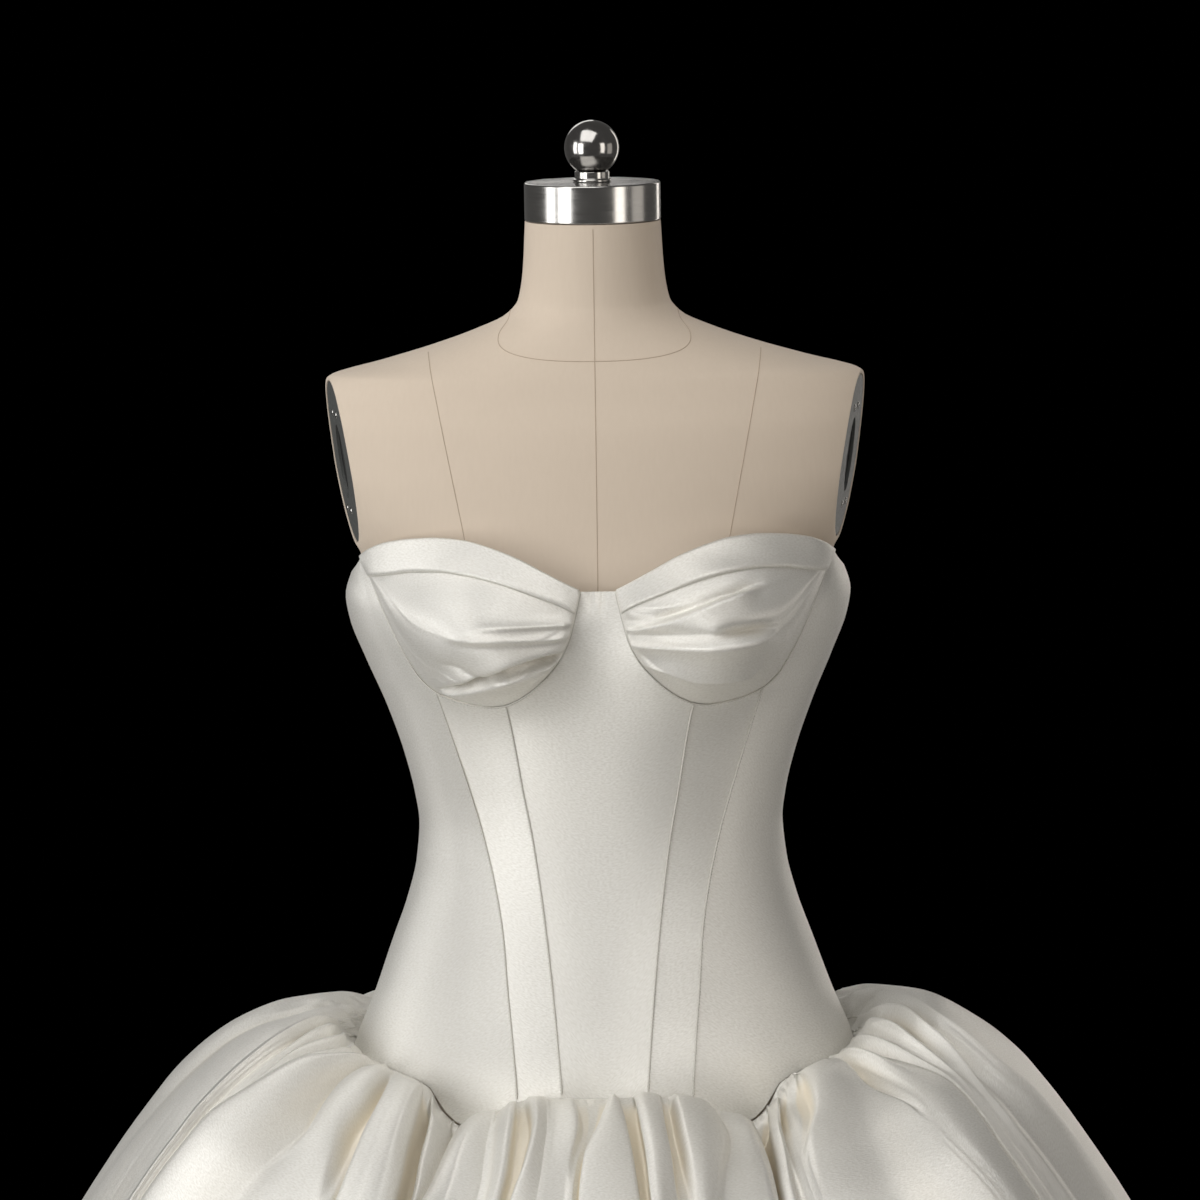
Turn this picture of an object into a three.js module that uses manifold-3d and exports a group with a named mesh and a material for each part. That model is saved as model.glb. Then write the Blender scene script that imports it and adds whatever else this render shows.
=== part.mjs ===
// Strapless satin ball gown with a dropped waist, worn by a limbless dress form on a pole and a round base.
// Millimetres, +Z up. The front faces -Y and +X is the wearer's left.
// The origin is on the floor under the pole.
import * as THREE from "three";
import { mergeVertices } from "three/addons/utils/BufferGeometryUtils.js";
import Module from "manifold-3d";

const wasm = await Module();
wasm.setup();

// Driving dimensions
const clothWall = 2; // satin with its backing
const seamGap = 0.3; // between two pieces sewn together
const formClearance = 1.5; // between the bodice's inside and the dress form
const hemHeight = 10; // above the floor
const hemRadius = 700;
const waistSeam = { front: 851, side: 889, back: 885, lowTo: 26, highFrom: 64 }; // heights and degrees
const forwardFall = 20; // degrees that folds swing towards the front below the waist seam
const bust = { angle: 30, spread: 17, z: 1204, above: 46, below: 40, gown: 40, form: 27 };
const cup = { inner: 12, outer: 166.5, bulge: 7.5, under: 77 }; // x of its ends and lowest point
const zip = { topGap: 6, halfWidth: 2.4, depth: 3.2, height: 9, tabLength: 24, tabWidth: 4, tabThick: 1.2 };
const armPlate = { z: 1318, height: 110, width: 80, thick: 2.5, pocket: 6, slotHeight: 54, slotWidth: 30 };
// The plane of the arm's cut leans in towards the bust and opens towards the back
const armCut = { tipX: 191, tipZ: 1379, lean: 0.14, turn: 0.19 };
const neckCap = { radius: 48.5, bottom: 1489, top: 1516 };
const finial = { stemRadius: 12.4, stemTop: 1523.5, socketRadius: 11, socketDepth: 5, ballRadius: 19.5 };
const pole = { radius: 16, top: 795 };
const base = { radius: 210, thick: 14, bossRadius: 34, bossHeight: 40 };

// The bodice's outer face: half width and depth to the front and back at each height
const gownSections = [
  { z: 840, half: 191, front: 125, back: 134 },
  { z: 889, half: 182, front: 120, back: 129 },
  { z: 930, half: 166, front: 110, back: 116 },
  { z: 965, half: 153.5, front: 103, back: 105 },
  { z: 1000, half: 141, front: 97, back: 96 },
  { z: 1028, half: 134, front: 94, back: 91 },
  { z: 1056, half: 131.4, front: 93, back: 89 },
  { z: 1076, half: 134, front: 94, back: 90 },
  { z: 1105, half: 141, front: 98, back: 94 },
  { z: 1142, half: 153.5, front: 104, back: 100 },
  { z: 1178, half: 168.5, front: 109, back: 106 },
  { z: 1206, half: 179, front: 112, back: 109 },
  { z: 1222, half: 181.5, front: 113, back: 110 },
  { z: 1242, half: 176, front: 112, back: 110 },
  { z: 1275, half: 168, front: 108, back: 108 },
];

// The dress form's cover above the gown's closest fit, and its hip below the waist seam
const formHip = [
  { z: 795, half: 160, front: 104, back: 113 },
  { z: 801, half: 170, front: 111, back: 120 },
  { z: 818, half: 180, front: 117, back: 127 },
];
const formChest = [
  { z: 1160, half: 153.5, front: 102, back: 100 },
  { z: 1178, half: 157.5, front: 104, back: 103 },
  { z: 1206, half: 162.5, front: 106, back: 106 },
  { z: 1222, half: 165, front: 106, back: 107 },
  { z: 1240, half: 167.5, front: 105, back: 108 },
  { z: 1252, half: 169.8, front: 102, back: 108 },
  { z: 1268, half: 180, front: 97, back: 108 },
  { z: 1286, half: 192, front: 93, back: 108 },
  { z: 1315, half: 205, front: 87, back: 106 },
  { z: 1345, half: 207, front: 80, back: 99 },
  { z: 1365, half: 203, front: 72, back: 91 },
  { z: 1380, half: 190, front: 67, back: 83 },
  { z: 1390, half: 154, front: 63, back: 77 },
  { z: 1400, half: 119, front: 59, back: 72 },
  { z: 1411, half: 87, front: 55, back: 66 },
  { z: 1422, half: 63, front: 52, back: 59 },
  { z: 1433, half: 54, front: 49.5, back: 54 },
  { z: 1455, half: 50.3, front: 48.5, back: 50.5 },
  { z: 1488.7, half: 48.3, front: 48.3, back: 48.3 },
];

// Front-view x of the two princess seams on each side
const princessSeams = [
  { z: 840, inner: 29, outer: 61.5 },
  { z: 880, inner: 30.5, outer: 62.5 },
  { z: 915, inner: 33, outer: 65 },
  { z: 950, inner: 36, outer: 68 },
  { z: 985, inner: 39.5, outer: 70.5 },
  { z: 1020, inner: 43.5, outer: 75.5 },
  { z: 1056, inner: 48.5, outer: 83.5 },
  { z: 1093, inner: 55, outer: 94 },
  { z: 1131, inner: 61, outer: 105.5 },
  { z: 1163, inner: 67, outer: 115 },
];

// The cup's seam in front view, from the gore at the neckline, under the bust and up to the arm
const cupSeam = [
  { x: 12, z: 1238.5 },
  { x: 17, z: 1217 },
  { x: 21, z: 1203 },
  { x: 28, z: 1189 },
  { x: 37, z: 1178 },
  { x: 48, z: 1167.5 },
  { x: 58, z: 1160.5 },
  { x: 67, z: 1156.5 },
  { x: 77, z: 1155 },
  { x: 90, z: 1156.2 },
  { x: 104, z: 1159 },
  { x: 115, z: 1163 },
  { x: 125.5, z: 1171 },
  { x: 136, z: 1187 },
  { x: 146, z: 1206.5 },
  { x: 156, z: 1228 },
  { x: 166.5, z: 1252 },
];
const neckline = [
  { x: 12, z: 1238.8, band: 1221 },
  { x: 25, z: 1244.5, band: 1227.5 },
  { x: 40, z: 1251.5, band: 1232.5 },
  { x: 55, z: 1259, band: 1237.5 },
  { x: 73.5, z: 1266, band: 1243 },
  { x: 90, z: 1270.5, band: 1246.5 },
  { x: 107, z: 1271.8, band: 1248.3 },
  { x: 125, z: 1270.3, band: 1247.3 },
  { x: 142, z: 1266.5, band: 1244 },
  { x: 156, z: 1260, band: 1241.5 },
  { x: 166.5, z: 1252.4, band: 1239.5 },
];
// The bodice's top edge from the cup round to the centre back
const topEdge = [
  { angle: 70, z: 1252.5 },
  { angle: 82, z: 1243 },
  { angle: 94, z: 1235.5 },
  { angle: 120, z: 1222 },
  { angle: 150, z: 1212 },
  { angle: 180, z: 1207 },
];
const backSeams = { side: 93, princess: 141, centre: 180 }; // degrees from the front

// The skirt's profile at the side: distance out from the waist seam and height above it
const skirtProfile = [
  { out: 0, up: -0.6, fold: 0 },
  { out: 13, up: 13, fold: 0.45 },
  { out: 33, up: 19, fold: 0.8 },
  { out: 62, up: 14, fold: 1 },
  { out: 95, up: -4, fold: 1 },
  { out: 120, up: -25, fold: 1 },
  { out: 143, up: -52, fold: 0.98 },
  { out: 198, up: -128, fold: 0.9 },
  { out: 308, up: -328, fold: 0.75 },
  { out: 400, up: -528, fold: 0.68 },
  { out: 517, up: hemHeight - waistSeam.side, fold: 0.6 },
];
// The skirt's valleys round the waist seam in degrees, each with its depth and the puff after it
const skirtValleys = [
  { angle: -180, depth: 17, puff: 12 },
  { angle: -168, depth: 13, puff: 13 },
  { angle: -155, depth: 18, puff: 11 },
  { angle: -143, depth: 12, puff: 14 },
  { angle: -129, depth: 20, puff: 13 },
  { angle: -113, depth: 17, puff: 14 },
  { angle: -98, depth: 12, puff: 10 },
  { angle: -84, depth: 18, puff: 12 },
  { angle: -68, depth: 13, puff: 9 },
  { angle: -55, depth: 20, puff: 8 },
  { angle: -45, depth: 22, puff: 7 },
  { angle: -33, depth: 25, puff: 15 },
  { angle: -19, depth: 9, puff: 15 },
  { angle: -7, depth: 10, puff: 14 },
  { angle: 5, depth: 9, puff: 13 },
  { angle: 14, depth: 10, puff: 15 },
  { angle: 34, depth: 25, puff: 10 },
  { angle: 44, depth: 17, puff: 12 },
  { angle: 60, depth: 14, puff: 11 },
  { angle: 76, depth: 18, puff: 12 },
  { angle: 92, depth: 13, puff: 10 },
  { angle: 107, depth: 17, puff: 13 },
  { angle: 120, depth: 12, puff: 12 },
  { angle: 132, depth: 19, puff: 12 },
  { angle: 147, depth: 14, puff: 13 },
  { angle: 160, depth: 17, puff: 11 },
  { angle: 170, depth: 12, puff: 9 },
  { angle: 180, depth: 17, puff: 0 },
];
// The valleys where skirt panels join
const skirtSeams = { frontRight: -33, frontLeft: 34, backRight: -129, backLeft: 132 };

const satin = new THREE.MeshStandardMaterial({ color: 0xe9e6df, roughness: 0.38, metalness: 0 });
const linen = new THREE.MeshStandardMaterial({ color: 0xc9b9a4, roughness: 0.85, metalness: 0 });
const steel = new THREE.MeshStandardMaterial({ color: 0xa9a7a2, roughness: 0.25, metalness: 1 });
const darkSteel = new THREE.MeshStandardMaterial({ color: 0x55565a, roughness: 0.35, metalness: 1 });
const ivoryEnamel = new THREE.MeshStandardMaterial({ color: 0xe6e2d8, roughness: 0.4, metalness: 0.2 });

const gown = new THREE.Group();

function addMesh(name, geometry, material, parent = gown) {
  const mesh = new THREE.Mesh(geometry, material);
  mesh.name = name;
  parent.add(mesh);
  return mesh;
}

// Smooth curve through a table's rows that never overshoots them
function curve(rows, at, value) {
  const xs = rows.map((row) => row[at]);
  const ys = rows.map((row) => row[value]);
  const secants = xs.slice(1).map((x, i) => (ys[i + 1] - ys[i]) / (x - xs[i]));
  const slopes = xs.map((_, i) => {
    const before = secants[Math.max(0, i - 1)];
    const after = secants[Math.min(i, secants.length - 1)];
    return before * after <= 0 ? 0 : (2 * before * after) / (before + after);
  });
  return (x) => {
    const above = xs.findIndex((end) => x < end);
    const i = above < 0 ? xs.length - 2 : Math.max(0, above - 1);
    const width = xs[i + 1] - xs[i];
    const t = THREE.MathUtils.clamp((x - xs[i]) / width, 0, 1);
    const start = (1 + 2 * t) * (1 - t) ** 2 * ys[i] + t * (1 - t) ** 2 * width * slopes[i];
    const end = t * t * (3 - 2 * t) * ys[i + 1] - t * t * (1 - t) * width * slopes[i + 1];
    return start + end;
  };
}

// A closed wall between two grids of points, rows going up and columns to the right as seen from outside
function wallGeometry(outer, inner) {
  const rows = outer.length;
  const columns = outer[0].length;
  const points = [...outer.flat(), ...inner.flat()];
  const index = [];
  const out = (r, c) => r * columns + c;
  const back = (r, c) => rows * columns + r * columns + c;
  const quad = (a, b, c, d) => index.push(a, b, c, a, c, d);
  for (let r = 0; r < rows - 1; r++) {
    for (let c = 0; c < columns - 1; c++) {
      quad(out(r, c), out(r, c + 1), out(r + 1, c + 1), out(r + 1, c));
      quad(back(r, c), back(r + 1, c), back(r + 1, c + 1), back(r, c + 1));
    }
    quad(back(r, 0), out(r, 0), out(r + 1, 0), back(r + 1, 0));
    quad(back(r, columns - 1), back(r + 1, columns - 1), out(r + 1, columns - 1), out(r, columns - 1));
  }
  for (let c = 0; c < columns - 1; c++) {
    quad(back(0, c), back(0, c + 1), out(0, c + 1), out(0, c));
    quad(out(rows - 1, c), out(rows - 1, c + 1), back(rows - 1, c + 1), back(rows - 1, c));
  }
  return new THREE.BufferGeometry().setFromPoints(points).setIndex(index);
}

// A solid through closed rings of points, counter-clockwise from above, with flat ends
function loftGeometry(rings) {
  const count = rings[0].length;
  const index = [];
  for (let r = 0; r < rings.length - 1; r++) {
    for (let c = 0; c < count; c++) {
      const next = (c + 1) % count;
      const [a, b] = [r * count + c, r * count + next];
      index.push(a, b, b + count, a, b + count, a + count);
    }
  }
  const last = (rings.length - 1) * count;
  for (let c = 1; c < count - 1; c++) {
    index.push(0, c + 1, c);
    index.push(last, last + c, last + c + 1);
  }
  return new THREE.BufferGeometry().setFromPoints(rings.flat()).setIndex(index);
}

function solidOf(geometry) {
  const bare = new THREE.BufferGeometry().setAttribute("position", geometry.getAttribute("position"));
  bare.setIndex(geometry.index);
  const merged = mergeVertices(bare, 1e-3);
  const triVerts = new Uint32Array(merged.index.array);
  const vertProperties = new Float32Array(merged.attributes.position.array);
  return new wasm.Manifold(new wasm.Mesh({ numProp: 3, vertProperties, triVerts }));
}

function geometryOf(solid) {
  const { numProp, vertProperties, triVerts } = solid.getMesh();
  const points = [];
  for (let i = 0; i < vertProperties.length; i += numProp) {
    points.push(new THREE.Vector3(vertProperties[i], vertProperties[i + 1], vertProperties[i + 2]));
  }
  return new THREE.BufferGeometry().setFromPoints(points).setIndex([...triVerts]);
}

// A figure's surface from a table of sections, with a soft bust: angle 0 is the centre front
function figureSurface(sections, bustHeight) {
  const half = curve(sections, "z", "half");
  const front = curve(sections, "z", "front");
  const back = curve(sections, "z", "back");
  const at = (angle, z) => {
    const turn = THREE.MathUtils.degToRad(angle);
    const depth = Math.cos(turn) > 0 ? front(z) : back(z);
    const across = (Math.abs(angle) - bust.angle) / bust.spread;
    const along = (z - bust.z) / (z > bust.z ? bust.above : bust.below);
    const mound = bustHeight * Math.exp(-across * across - along * along);
    return new THREE.Vector3(half(z) * Math.sin(turn), -depth * Math.cos(turn) - mound, z);
  };
  const normal = (angle, z) => {
    const across = at(angle + 0.3, z).sub(at(angle - 0.3, z));
    const up = at(angle, z + 0.5).sub(at(angle, z - 0.5));
    return across.cross(up).normalize();
  };
  const point = (angle, z, out = 0) => at(angle, z).addScaledVector(normal(angle, z), out);
  const angleOf = (x, z) => THREE.MathUtils.radToDeg(Math.asin(THREE.MathUtils.clamp(x / half(z), -1, 1)));
  return { point, normal, angleOf };
}

const bodice = figureSurface(gownSections, bust.gown);
const innerSeam = curve(princessSeams, "z", "inner");
const outerSeam = curve(princessSeams, "z", "outer");
const cupLower = curve(cupSeam, "x", "z");
const cupTop = curve(neckline, "x", "z");
const bandLower = curve(neckline, "x", "band");
const sideTop = curve(topEdge, "angle", "z");
const goreCorner = cupSeam.find((row) => row.x === 67).z;
const armCorner = cupSeam.find((row) => row.x === 115).z;

// Where the cup's seam passes a height, between its lowest point and the given end
function cupSeamX(z, end) {
  let [low, high] = [cup.under, end];
  for (let i = 0; i < 30; i++) {
    const middle = (low + high) / 2;
    if (cupLower(middle) < z) low = middle;
    else high = middle;
  }
  return low;
}

// Height of the dropped waist seam at an angle from the centre front
function waistSeamAt(angle) {
  const turn = Math.abs(angle);
  const rise = THREE.MathUtils.smoothstep(turn, waistSeam.lowTo, waistSeam.highFrom);
  const toBack = THREE.MathUtils.smoothstep(turn, 90, 180);
  const sideToBack = THREE.MathUtils.lerp(waistSeam.side, waistSeam.back, toBack);
  return THREE.MathUtils.lerp(waistSeam.front, sideToBack, rise);
}

// Evenly spread heights from one level to the next, each level met exactly
function spreadLevels(levels, steps) {
  const heights = [levels[0]];
  steps.forEach((count, i) => {
    for (let k = 1; k <= count; k++) heights.push(THREE.MathUtils.lerp(levels[i], levels[i + 1], k / count));
  });
  return heights;
}

// A bodice panel between two edges given as angles at a height
function panelGeometry({ columns, steps, left, right, levels }) {
  const angleAt = (share, z) => THREE.MathUtils.lerp(left(z), right(z), share);
  const grids = [0, -clothWall].map((out) => {
    const byColumn = Array.from({ length: columns + 1 }, (_, c) => {
      const heights = spreadLevels(levels((z) => angleAt(c / columns, z)), steps);
      return heights.map((z) => bodice.point(angleAt(c / columns, z), z, out));
    });
    return byColumn[0].map((_, r) => byColumn.map((column) => column[r]));
  });
  return wallGeometry(...grids);
}

const halfGap = seamGap / 2 + 0.05;
const lowLevel = waistSeam.front;
const topLevel = neckline[0].z;
const fitLevels = [930, 1056]; // hip and waist, met by every panel's rows
const fitSteps = [3, 3, 3];
const frontEdgeX = (z) => (z <= goreCorner ? innerSeam(z) : cupSeamX(z, cup.inner)) - halfGap;

function addFrontPanel() {
  const right = (z) => bodice.angleOf(frontEdgeX(z), z);
  const left = (z) => -right(z);
  const levels = (angle) => [waistSeamAt(angle(lowLevel)), ...fitLevels, goreCorner, topLevel];
  const steps = [...fitSteps, 10];
  addMesh("bodice_front", panelGeometry({ columns: 8, steps, left, right, levels }), satin);
}

// Panels come in pairs, with side -1 for the wearer's right and 1 for the left
function sidedEdges(side, near, far) {
  return side > 0 ? { left: near, right: far } : { left: (z) => -far(z), right: (z) => -near(z) };
}

function addFrontSidePanel(side, name) {
  const near = (z) => bodice.angleOf(innerSeam(z) + halfGap, z);
  const far = (z) => bodice.angleOf(outerSeam(z) - halfGap, z);
  const levels = (angle) => {
    const topX = Math.abs(bodice.point(angle(armCorner), armCorner).x);
    return [waistSeamAt(angle(lowLevel)), ...fitLevels, cupLower(topX) - seamGap];
  };
  const edges = sidedEdges(side, near, far);
  const panel = panelGeometry({ columns: 7, steps: fitSteps, ...edges, levels });
  addMesh(`bodice_front_side_${name}`, panel, satin);
}

function addSidePanel(side, name) {
  const edgeX = (z) => (z <= armCorner ? outerSeam(z) : cupSeamX(z, cup.outer)) + halfGap;
  const near = (z) => bodice.angleOf(edgeX(z), z);
  const far = () => backSeams.side - 0.07;
  const levels = (angle) => {
    const top = sideTop(Math.abs(angle(topLevel)));
    return [waistSeamAt(angle(waistSeam.side)), ...fitLevels, armCorner, armCorner + 26, top];
  };
  const edges = sidedEdges(side, near, far);
  const steps = [...fitSteps, 5, 4];
  addMesh(`bodice_side_${name}`, panelGeometry({ columns: 11, steps, ...edges, levels }), satin);
}

function addBackPanel(side, name, from, to, columns) {
  const near = () => from + 0.07;
  const far = () => to - 0.07;
  const levels = (angle) => [waistSeamAt(angle()), ...fitLevels, sideTop(Math.abs(angle()))];
  const edges = sidedEdges(side, near, far);
  addMesh(name, panelGeometry({ columns, steps: [3, 3, 5], ...edges, levels }), satin);
}

// A point on the cup at a front-view place: the cup bulges out from its seam towards the neckline
function cupPoint(side, x, z, out) {
  const low = cupLower(x);
  const share = THREE.MathUtils.clamp((z - low) / Math.max(8, cupTop(x) - low), 0, 1);
  const nearEnd = Math.min(x - cup.inner, cup.outer - x);
  const ends = THREE.MathUtils.smoothstep(nearEnd, -26, 26);
  const bulge = cup.bulge * ends * (1 - (1 - share) ** 3);
  return bodice.point(side * bodice.angleOf(x, z), z, bulge + out);
}

// A piece on the cup between two front-view edges, given as heights at x
function cupGeometry({ side, xs, rows, low, high, lift }) {
  const ordered = side > 0 ? xs : [...xs].reverse();
  const grids = [lift, lift - clothWall].map((out) =>
    Array.from({ length: rows + 1 }, (_, r) =>
      ordered.map((x) => cupPoint(side, x, THREE.MathUtils.lerp(low(x), high(x), r / rows), out)),
    ),
  );
  return wallGeometry(...grids);
}

function addCup(side, name) {
  const columns = 14;
  const xs = Array.from({ length: columns + 1 }, (_, c) => {
    const share = 0.5 - 0.5 * Math.cos((Math.PI * c) / columns);
    return THREE.MathUtils.lerp(cup.inner + 1.6, cup.outer - 1.2, share);
  });
  const inset = 2 * seamGap; // leaves about one seam gap on the steep stretches
  const inward = (x) => (x < cup.under ? -inset : inset);
  const low = (x) => cupLower(x + inward(x)) + seamGap;
  const pieces = { side, xs, high: cupTop };
  addMesh(`cup_${name}`, cupGeometry({ ...pieces, rows: 6, low, lift: 0 }), satin);

  const bandColumns = 18;
  const bandXs = Array.from({ length: bandColumns + 1 }, (_, c) =>
    THREE.MathUtils.lerp(cup.inner + 6, cup.outer - 8, c / bandColumns),
  );
  const bandLow = (x) => Math.max(bandLower(x), cupLower(x) + 5);
  const lift = clothWall + 3 * seamGap;
  const band = cupGeometry({ side, xs: bandXs, rows: 3, low: bandLow, high: cupTop, lift });
  addMesh(`neckline_band_${name}`, band, satin);
}

const profileTimes = skirtProfile.map((row, i) => ({ ...row, step: i }));
const skirtOut = curve(profileTimes, "step", "out");
const skirtUp = curve(profileTimes, "step", "up");
const foldShare = curve(profileTimes, "step", "fold");
const lastStep = skirtProfile.length - 1;
const sideSeam = bodice.point(90, waistSeam.side);

// The unfolded skirt at an angle round the waist seam: the front hangs lower and all of it reaches one hem
function skirtBase(angle, step) {
  const seam = bodice.point(angle, waistSeamAt(angle));
  const seamRadius = Math.hypot(seam.x, seam.y) + seamGap;
  const reach = skirtOut(step) / skirtOut(lastStep);
  const radius = seamRadius + skirtOut(step) + (hemRadius - seamRadius - skirtOut(lastStep)) * reach;
  const drop = (waistSeam.side - seam.z) * (1 - reach);
  const height = waistSeam.side + skirtUp(step) - drop;
  return { seam, radius, height };
}

// Folds leave the seam and fall nearer the centre front than the straight way out
function foldDirection(seam, step) {
  const polar = THREE.MathUtils.radToDeg(Math.atan2(seam.x, -seam.y));
  const turn = Math.abs(polar);
  const swing = turn < 120 ? forwardFall * Math.sin((Math.PI * turn) / 120) : 0;
  const share = THREE.MathUtils.smoothstep(step, 0, 6);
  return THREE.MathUtils.degToRad(polar - Math.sign(polar) * swing * share);
}

// A point of the skirt's outer face, pushed in or out along the unfolded skirt's normal
function skirtPoint(angle, step, push, sideways) {
  const { seam, radius, height } = skirtBase(angle, step);
  const before = skirtBase(angle, Math.max(0, step - 0.2));
  const after = skirtBase(angle, Math.min(lastStep, step + 0.2));
  const along = new THREE.Vector2(after.radius - before.radius, after.height - before.height).normalize();
  const r = radius - along.y * push;
  const z = height + along.x * push;
  const turn = foldDirection(seam, step) + sideways / r;
  return new THREE.Vector3(r * Math.sin(turn), -r * Math.cos(turn), z);
}

// Columns of a skirt panel from one seam valley to the next, three to a fold
function skirtColumns(from, to) {
  const columns = [];
  const perFold = 3;
  skirtValleys.forEach((valley, i) => {
    const next = skirtValleys[i + 1];
    if (!next || valley.angle < from || valley.angle >= to) return;
    for (let k = 0; k < perFold; k++) {
      const share = k / perFold;
      const ridge = 1 - Math.abs(2 * share - 1) ** 1.7;
      const depth = THREE.MathUtils.lerp(valley.depth, next.depth, share);
      columns.push({
        angle: THREE.MathUtils.lerp(valley.angle, next.angle, share),
        push: valley.puff * ridge - depth * (1 - ridge),
      });
    }
    if (next.angle === to) columns.push({ angle: to, push: -next.depth });
  });
  return columns;
}

// Inside its edges a panel's back face lies square to the folds, so their sides keep the cloth's thickness
function squareBack(outer, inner) {
  for (let r = 1; r < outer.length - 1; r++) {
    for (let c = 1; c < outer[r].length - 1; c++) {
      const up = outer[r + 1][c].clone().sub(outer[r - 1][c]);
      const across = outer[r][c + 1].clone().sub(outer[r][c - 1]);
      inner[r][c] = up.cross(across).setLength(clothWall).add(outer[r][c]);
    }
  }
}

function addSkirtPanel(name, from, to) {
  const columns = skirtColumns(from, to);
  const steps = Array.from({ length: lastStep + 1 }, (_, i) => lastStep - i);
  const [outer, inner] = [0, -clothWall].map((out) =>
    steps.map((step) =>
      columns.map(({ angle, push }, c) => {
        const end = c === 0 ? halfGap : c === columns.length - 1 ? -halfGap : 0;
        return skirtPoint(angle, step, push * foldShare(step) + out, end);
      }),
    ),
  );
  squareBack(outer, inner);
  addMesh(name, wallGeometry(outer, inner), satin);
}

// The dress form: a smooth body with a flat cut at each arm and a pocket for its plate
const closeFit = clothWall + formClearance;
const formSections = [
  ...formHip,
  ...gownSections
    .filter((row) => row.z < formChest[0].z)
    .map(({ z, half, front, back }) => ({
      z,
      half: half - closeFit,
      front: front - closeFit,
      back: back - closeFit,
    })),
  ...formChest,
];
const formSurface = figureSurface(formSections, bust.form);

// The arm plate's frame: its centre on the cut, with Z out of the cut and Y up along it
function armFrame(side) {
  const out = new THREE.Vector3(side, -armCut.turn, -armCut.lean).normalize();
  const upward = new THREE.Vector3(0, 0, 1).addScaledVector(out, -out.z).normalize();
  const across = new THREE.Vector3().crossVectors(upward, out);
  const x = armCut.tipX - armCut.lean * (armCut.tipZ - armPlate.z);
  const matrix = new THREE.Matrix4().makeBasis(across, upward, out);
  return matrix.setPosition(side * x, 0, armPlate.z);
}

function ovalShape(height, width) {
  return new THREE.Shape().absellipse(0, 0, width / 2, height / 2, 0, 2 * Math.PI);
}

function addTorso() {
  const ringCount = 40;
  const heights = formSections.flatMap((row, i) => {
    const next = formSections[i + 1];
    return next && next.z - row.z > 45 ? [row.z, (row.z + next.z) / 2] : [row.z];
  });
  const rings = heights.map((z) =>
    Array.from({ length: ringCount }, (_, c) => formSurface.point((360 * c) / ringCount - 180, z)),
  );
  let torso = solidOf(loftGeometry(rings));
  for (const side of [-1, 1]) {
    const blockSize = 300;
    const block = new THREE.BoxGeometry(blockSize, blockSize, blockSize).translate(0, 80, blockSize / 2);
    const pocket = new THREE.ExtrudeGeometry(ovalShape(armPlate.height, armPlate.width), {
      depth: armPlate.pocket + 1,
      bevelEnabled: false,
      curveSegments: 16,
    }).translate(0, 0, -armPlate.pocket);
    for (const tool of [block, pocket]) torso = torso.subtract(solidOf(tool.applyMatrix4(armFrame(side))));
  }
  addMesh("form_torso", geometryOf(torso), linen);
}

function addArmPlate(side, name) {
  const frame = new THREE.Group();
  frame.applyMatrix4(armFrame(side));
  gown.add(frame);
  const floor = -armPlate.pocket + seamGap;
  const shape = ovalShape(armPlate.height - 3 * seamGap, armPlate.width - 3 * seamGap);
  shape.holes.push(ovalShape(armPlate.slotHeight, armPlate.slotWidth));
  const extrude = { depth: armPlate.thick, bevelEnabled: false, curveSegments: 14 };
  const slotted = new THREE.ExtrudeGeometry(shape, extrude);
  const plate = addMesh(`form_arm_plate_${name}`, slotted, darkSteel, frame);
  plate.position.z = floor;
  const screwHead = [
    [0, 0],
    [2.6, 0],
    [2.2, 0.9],
    [0, 1.3],
  ];
  const screwPlaces = [-1, 1].flatMap((end) => [-1, 1].map((way) => ({ x: way * 9, y: end * 35 })));
  screwPlaces.forEach(({ x, y }, i) => {
    const screw = turnedGeometry(screwHead, 8);
    const mesh = addMesh(`form_arm_screw_${name}_${i + 1}`, screw, steel, frame);
    mesh.position.set(x, y, floor + armPlate.thick + 0.2);
  });
}

// A turned piece from its profile, given as radius and height from the axis round to the axis
function turnedGeometry(profile, segments) {
  const points = profile.map(([radius, height]) => new THREE.Vector2(radius, height));
  return new THREE.LatheGeometry(points, segments).rotateX(Math.PI / 2);
}

function addNeckCap() {
  const { radius, bottom, top } = neckCap;
  const edge = 1;
  const profile = [
    [0, bottom],
    [radius, bottom],
    [radius, top - edge],
    [radius - edge, top],
    [0, top],
  ];
  addMesh("form_neck_cap", turnedGeometry(profile, 40), steel);

  const seat = top + seamGap;
  const socketFloor = finial.stemTop - finial.socketDepth;
  const stem = [
    [0, seat],
    [finial.stemRadius, seat],
    [finial.stemRadius, finial.stemTop],
    [finial.socketRadius, finial.stemTop],
    [0, socketFloor],
  ];
  addMesh("form_finial_stem", turnedGeometry(stem, 32), steel);

  const rim = Math.sqrt(finial.ballRadius ** 2 - finial.socketRadius ** 2);
  const ball = new THREE.SphereGeometry(finial.ballRadius, 24, 12).rotateX(Math.PI / 2);
  addMesh("form_finial_ball", ball, steel).position.z = finial.stemTop + rim + 2 * seamGap;
}

function addStand() {
  const { radius, thick, bossRadius, bossHeight } = base;
  const edge = 3;
  const profile = [
    [0, 0],
    [radius - edge, 0],
    [radius, edge],
    [radius, thick - edge],
    [radius - edge, thick],
    [bossRadius, thick + 4],
    [bossRadius - 6, bossHeight],
    [0, bossHeight],
  ];
  addMesh("stand_base", turnedGeometry(profile, 40), darkSteel);
  const length = pole.top - bossHeight - 2 * seamGap;
  const rod = new THREE.CylinderGeometry(pole.radius, pole.radius, length, 28).rotateX(Math.PI / 2);
  addMesh("stand_pole", rod, steel).position.z = bossHeight + seamGap + length / 2;
}

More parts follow.
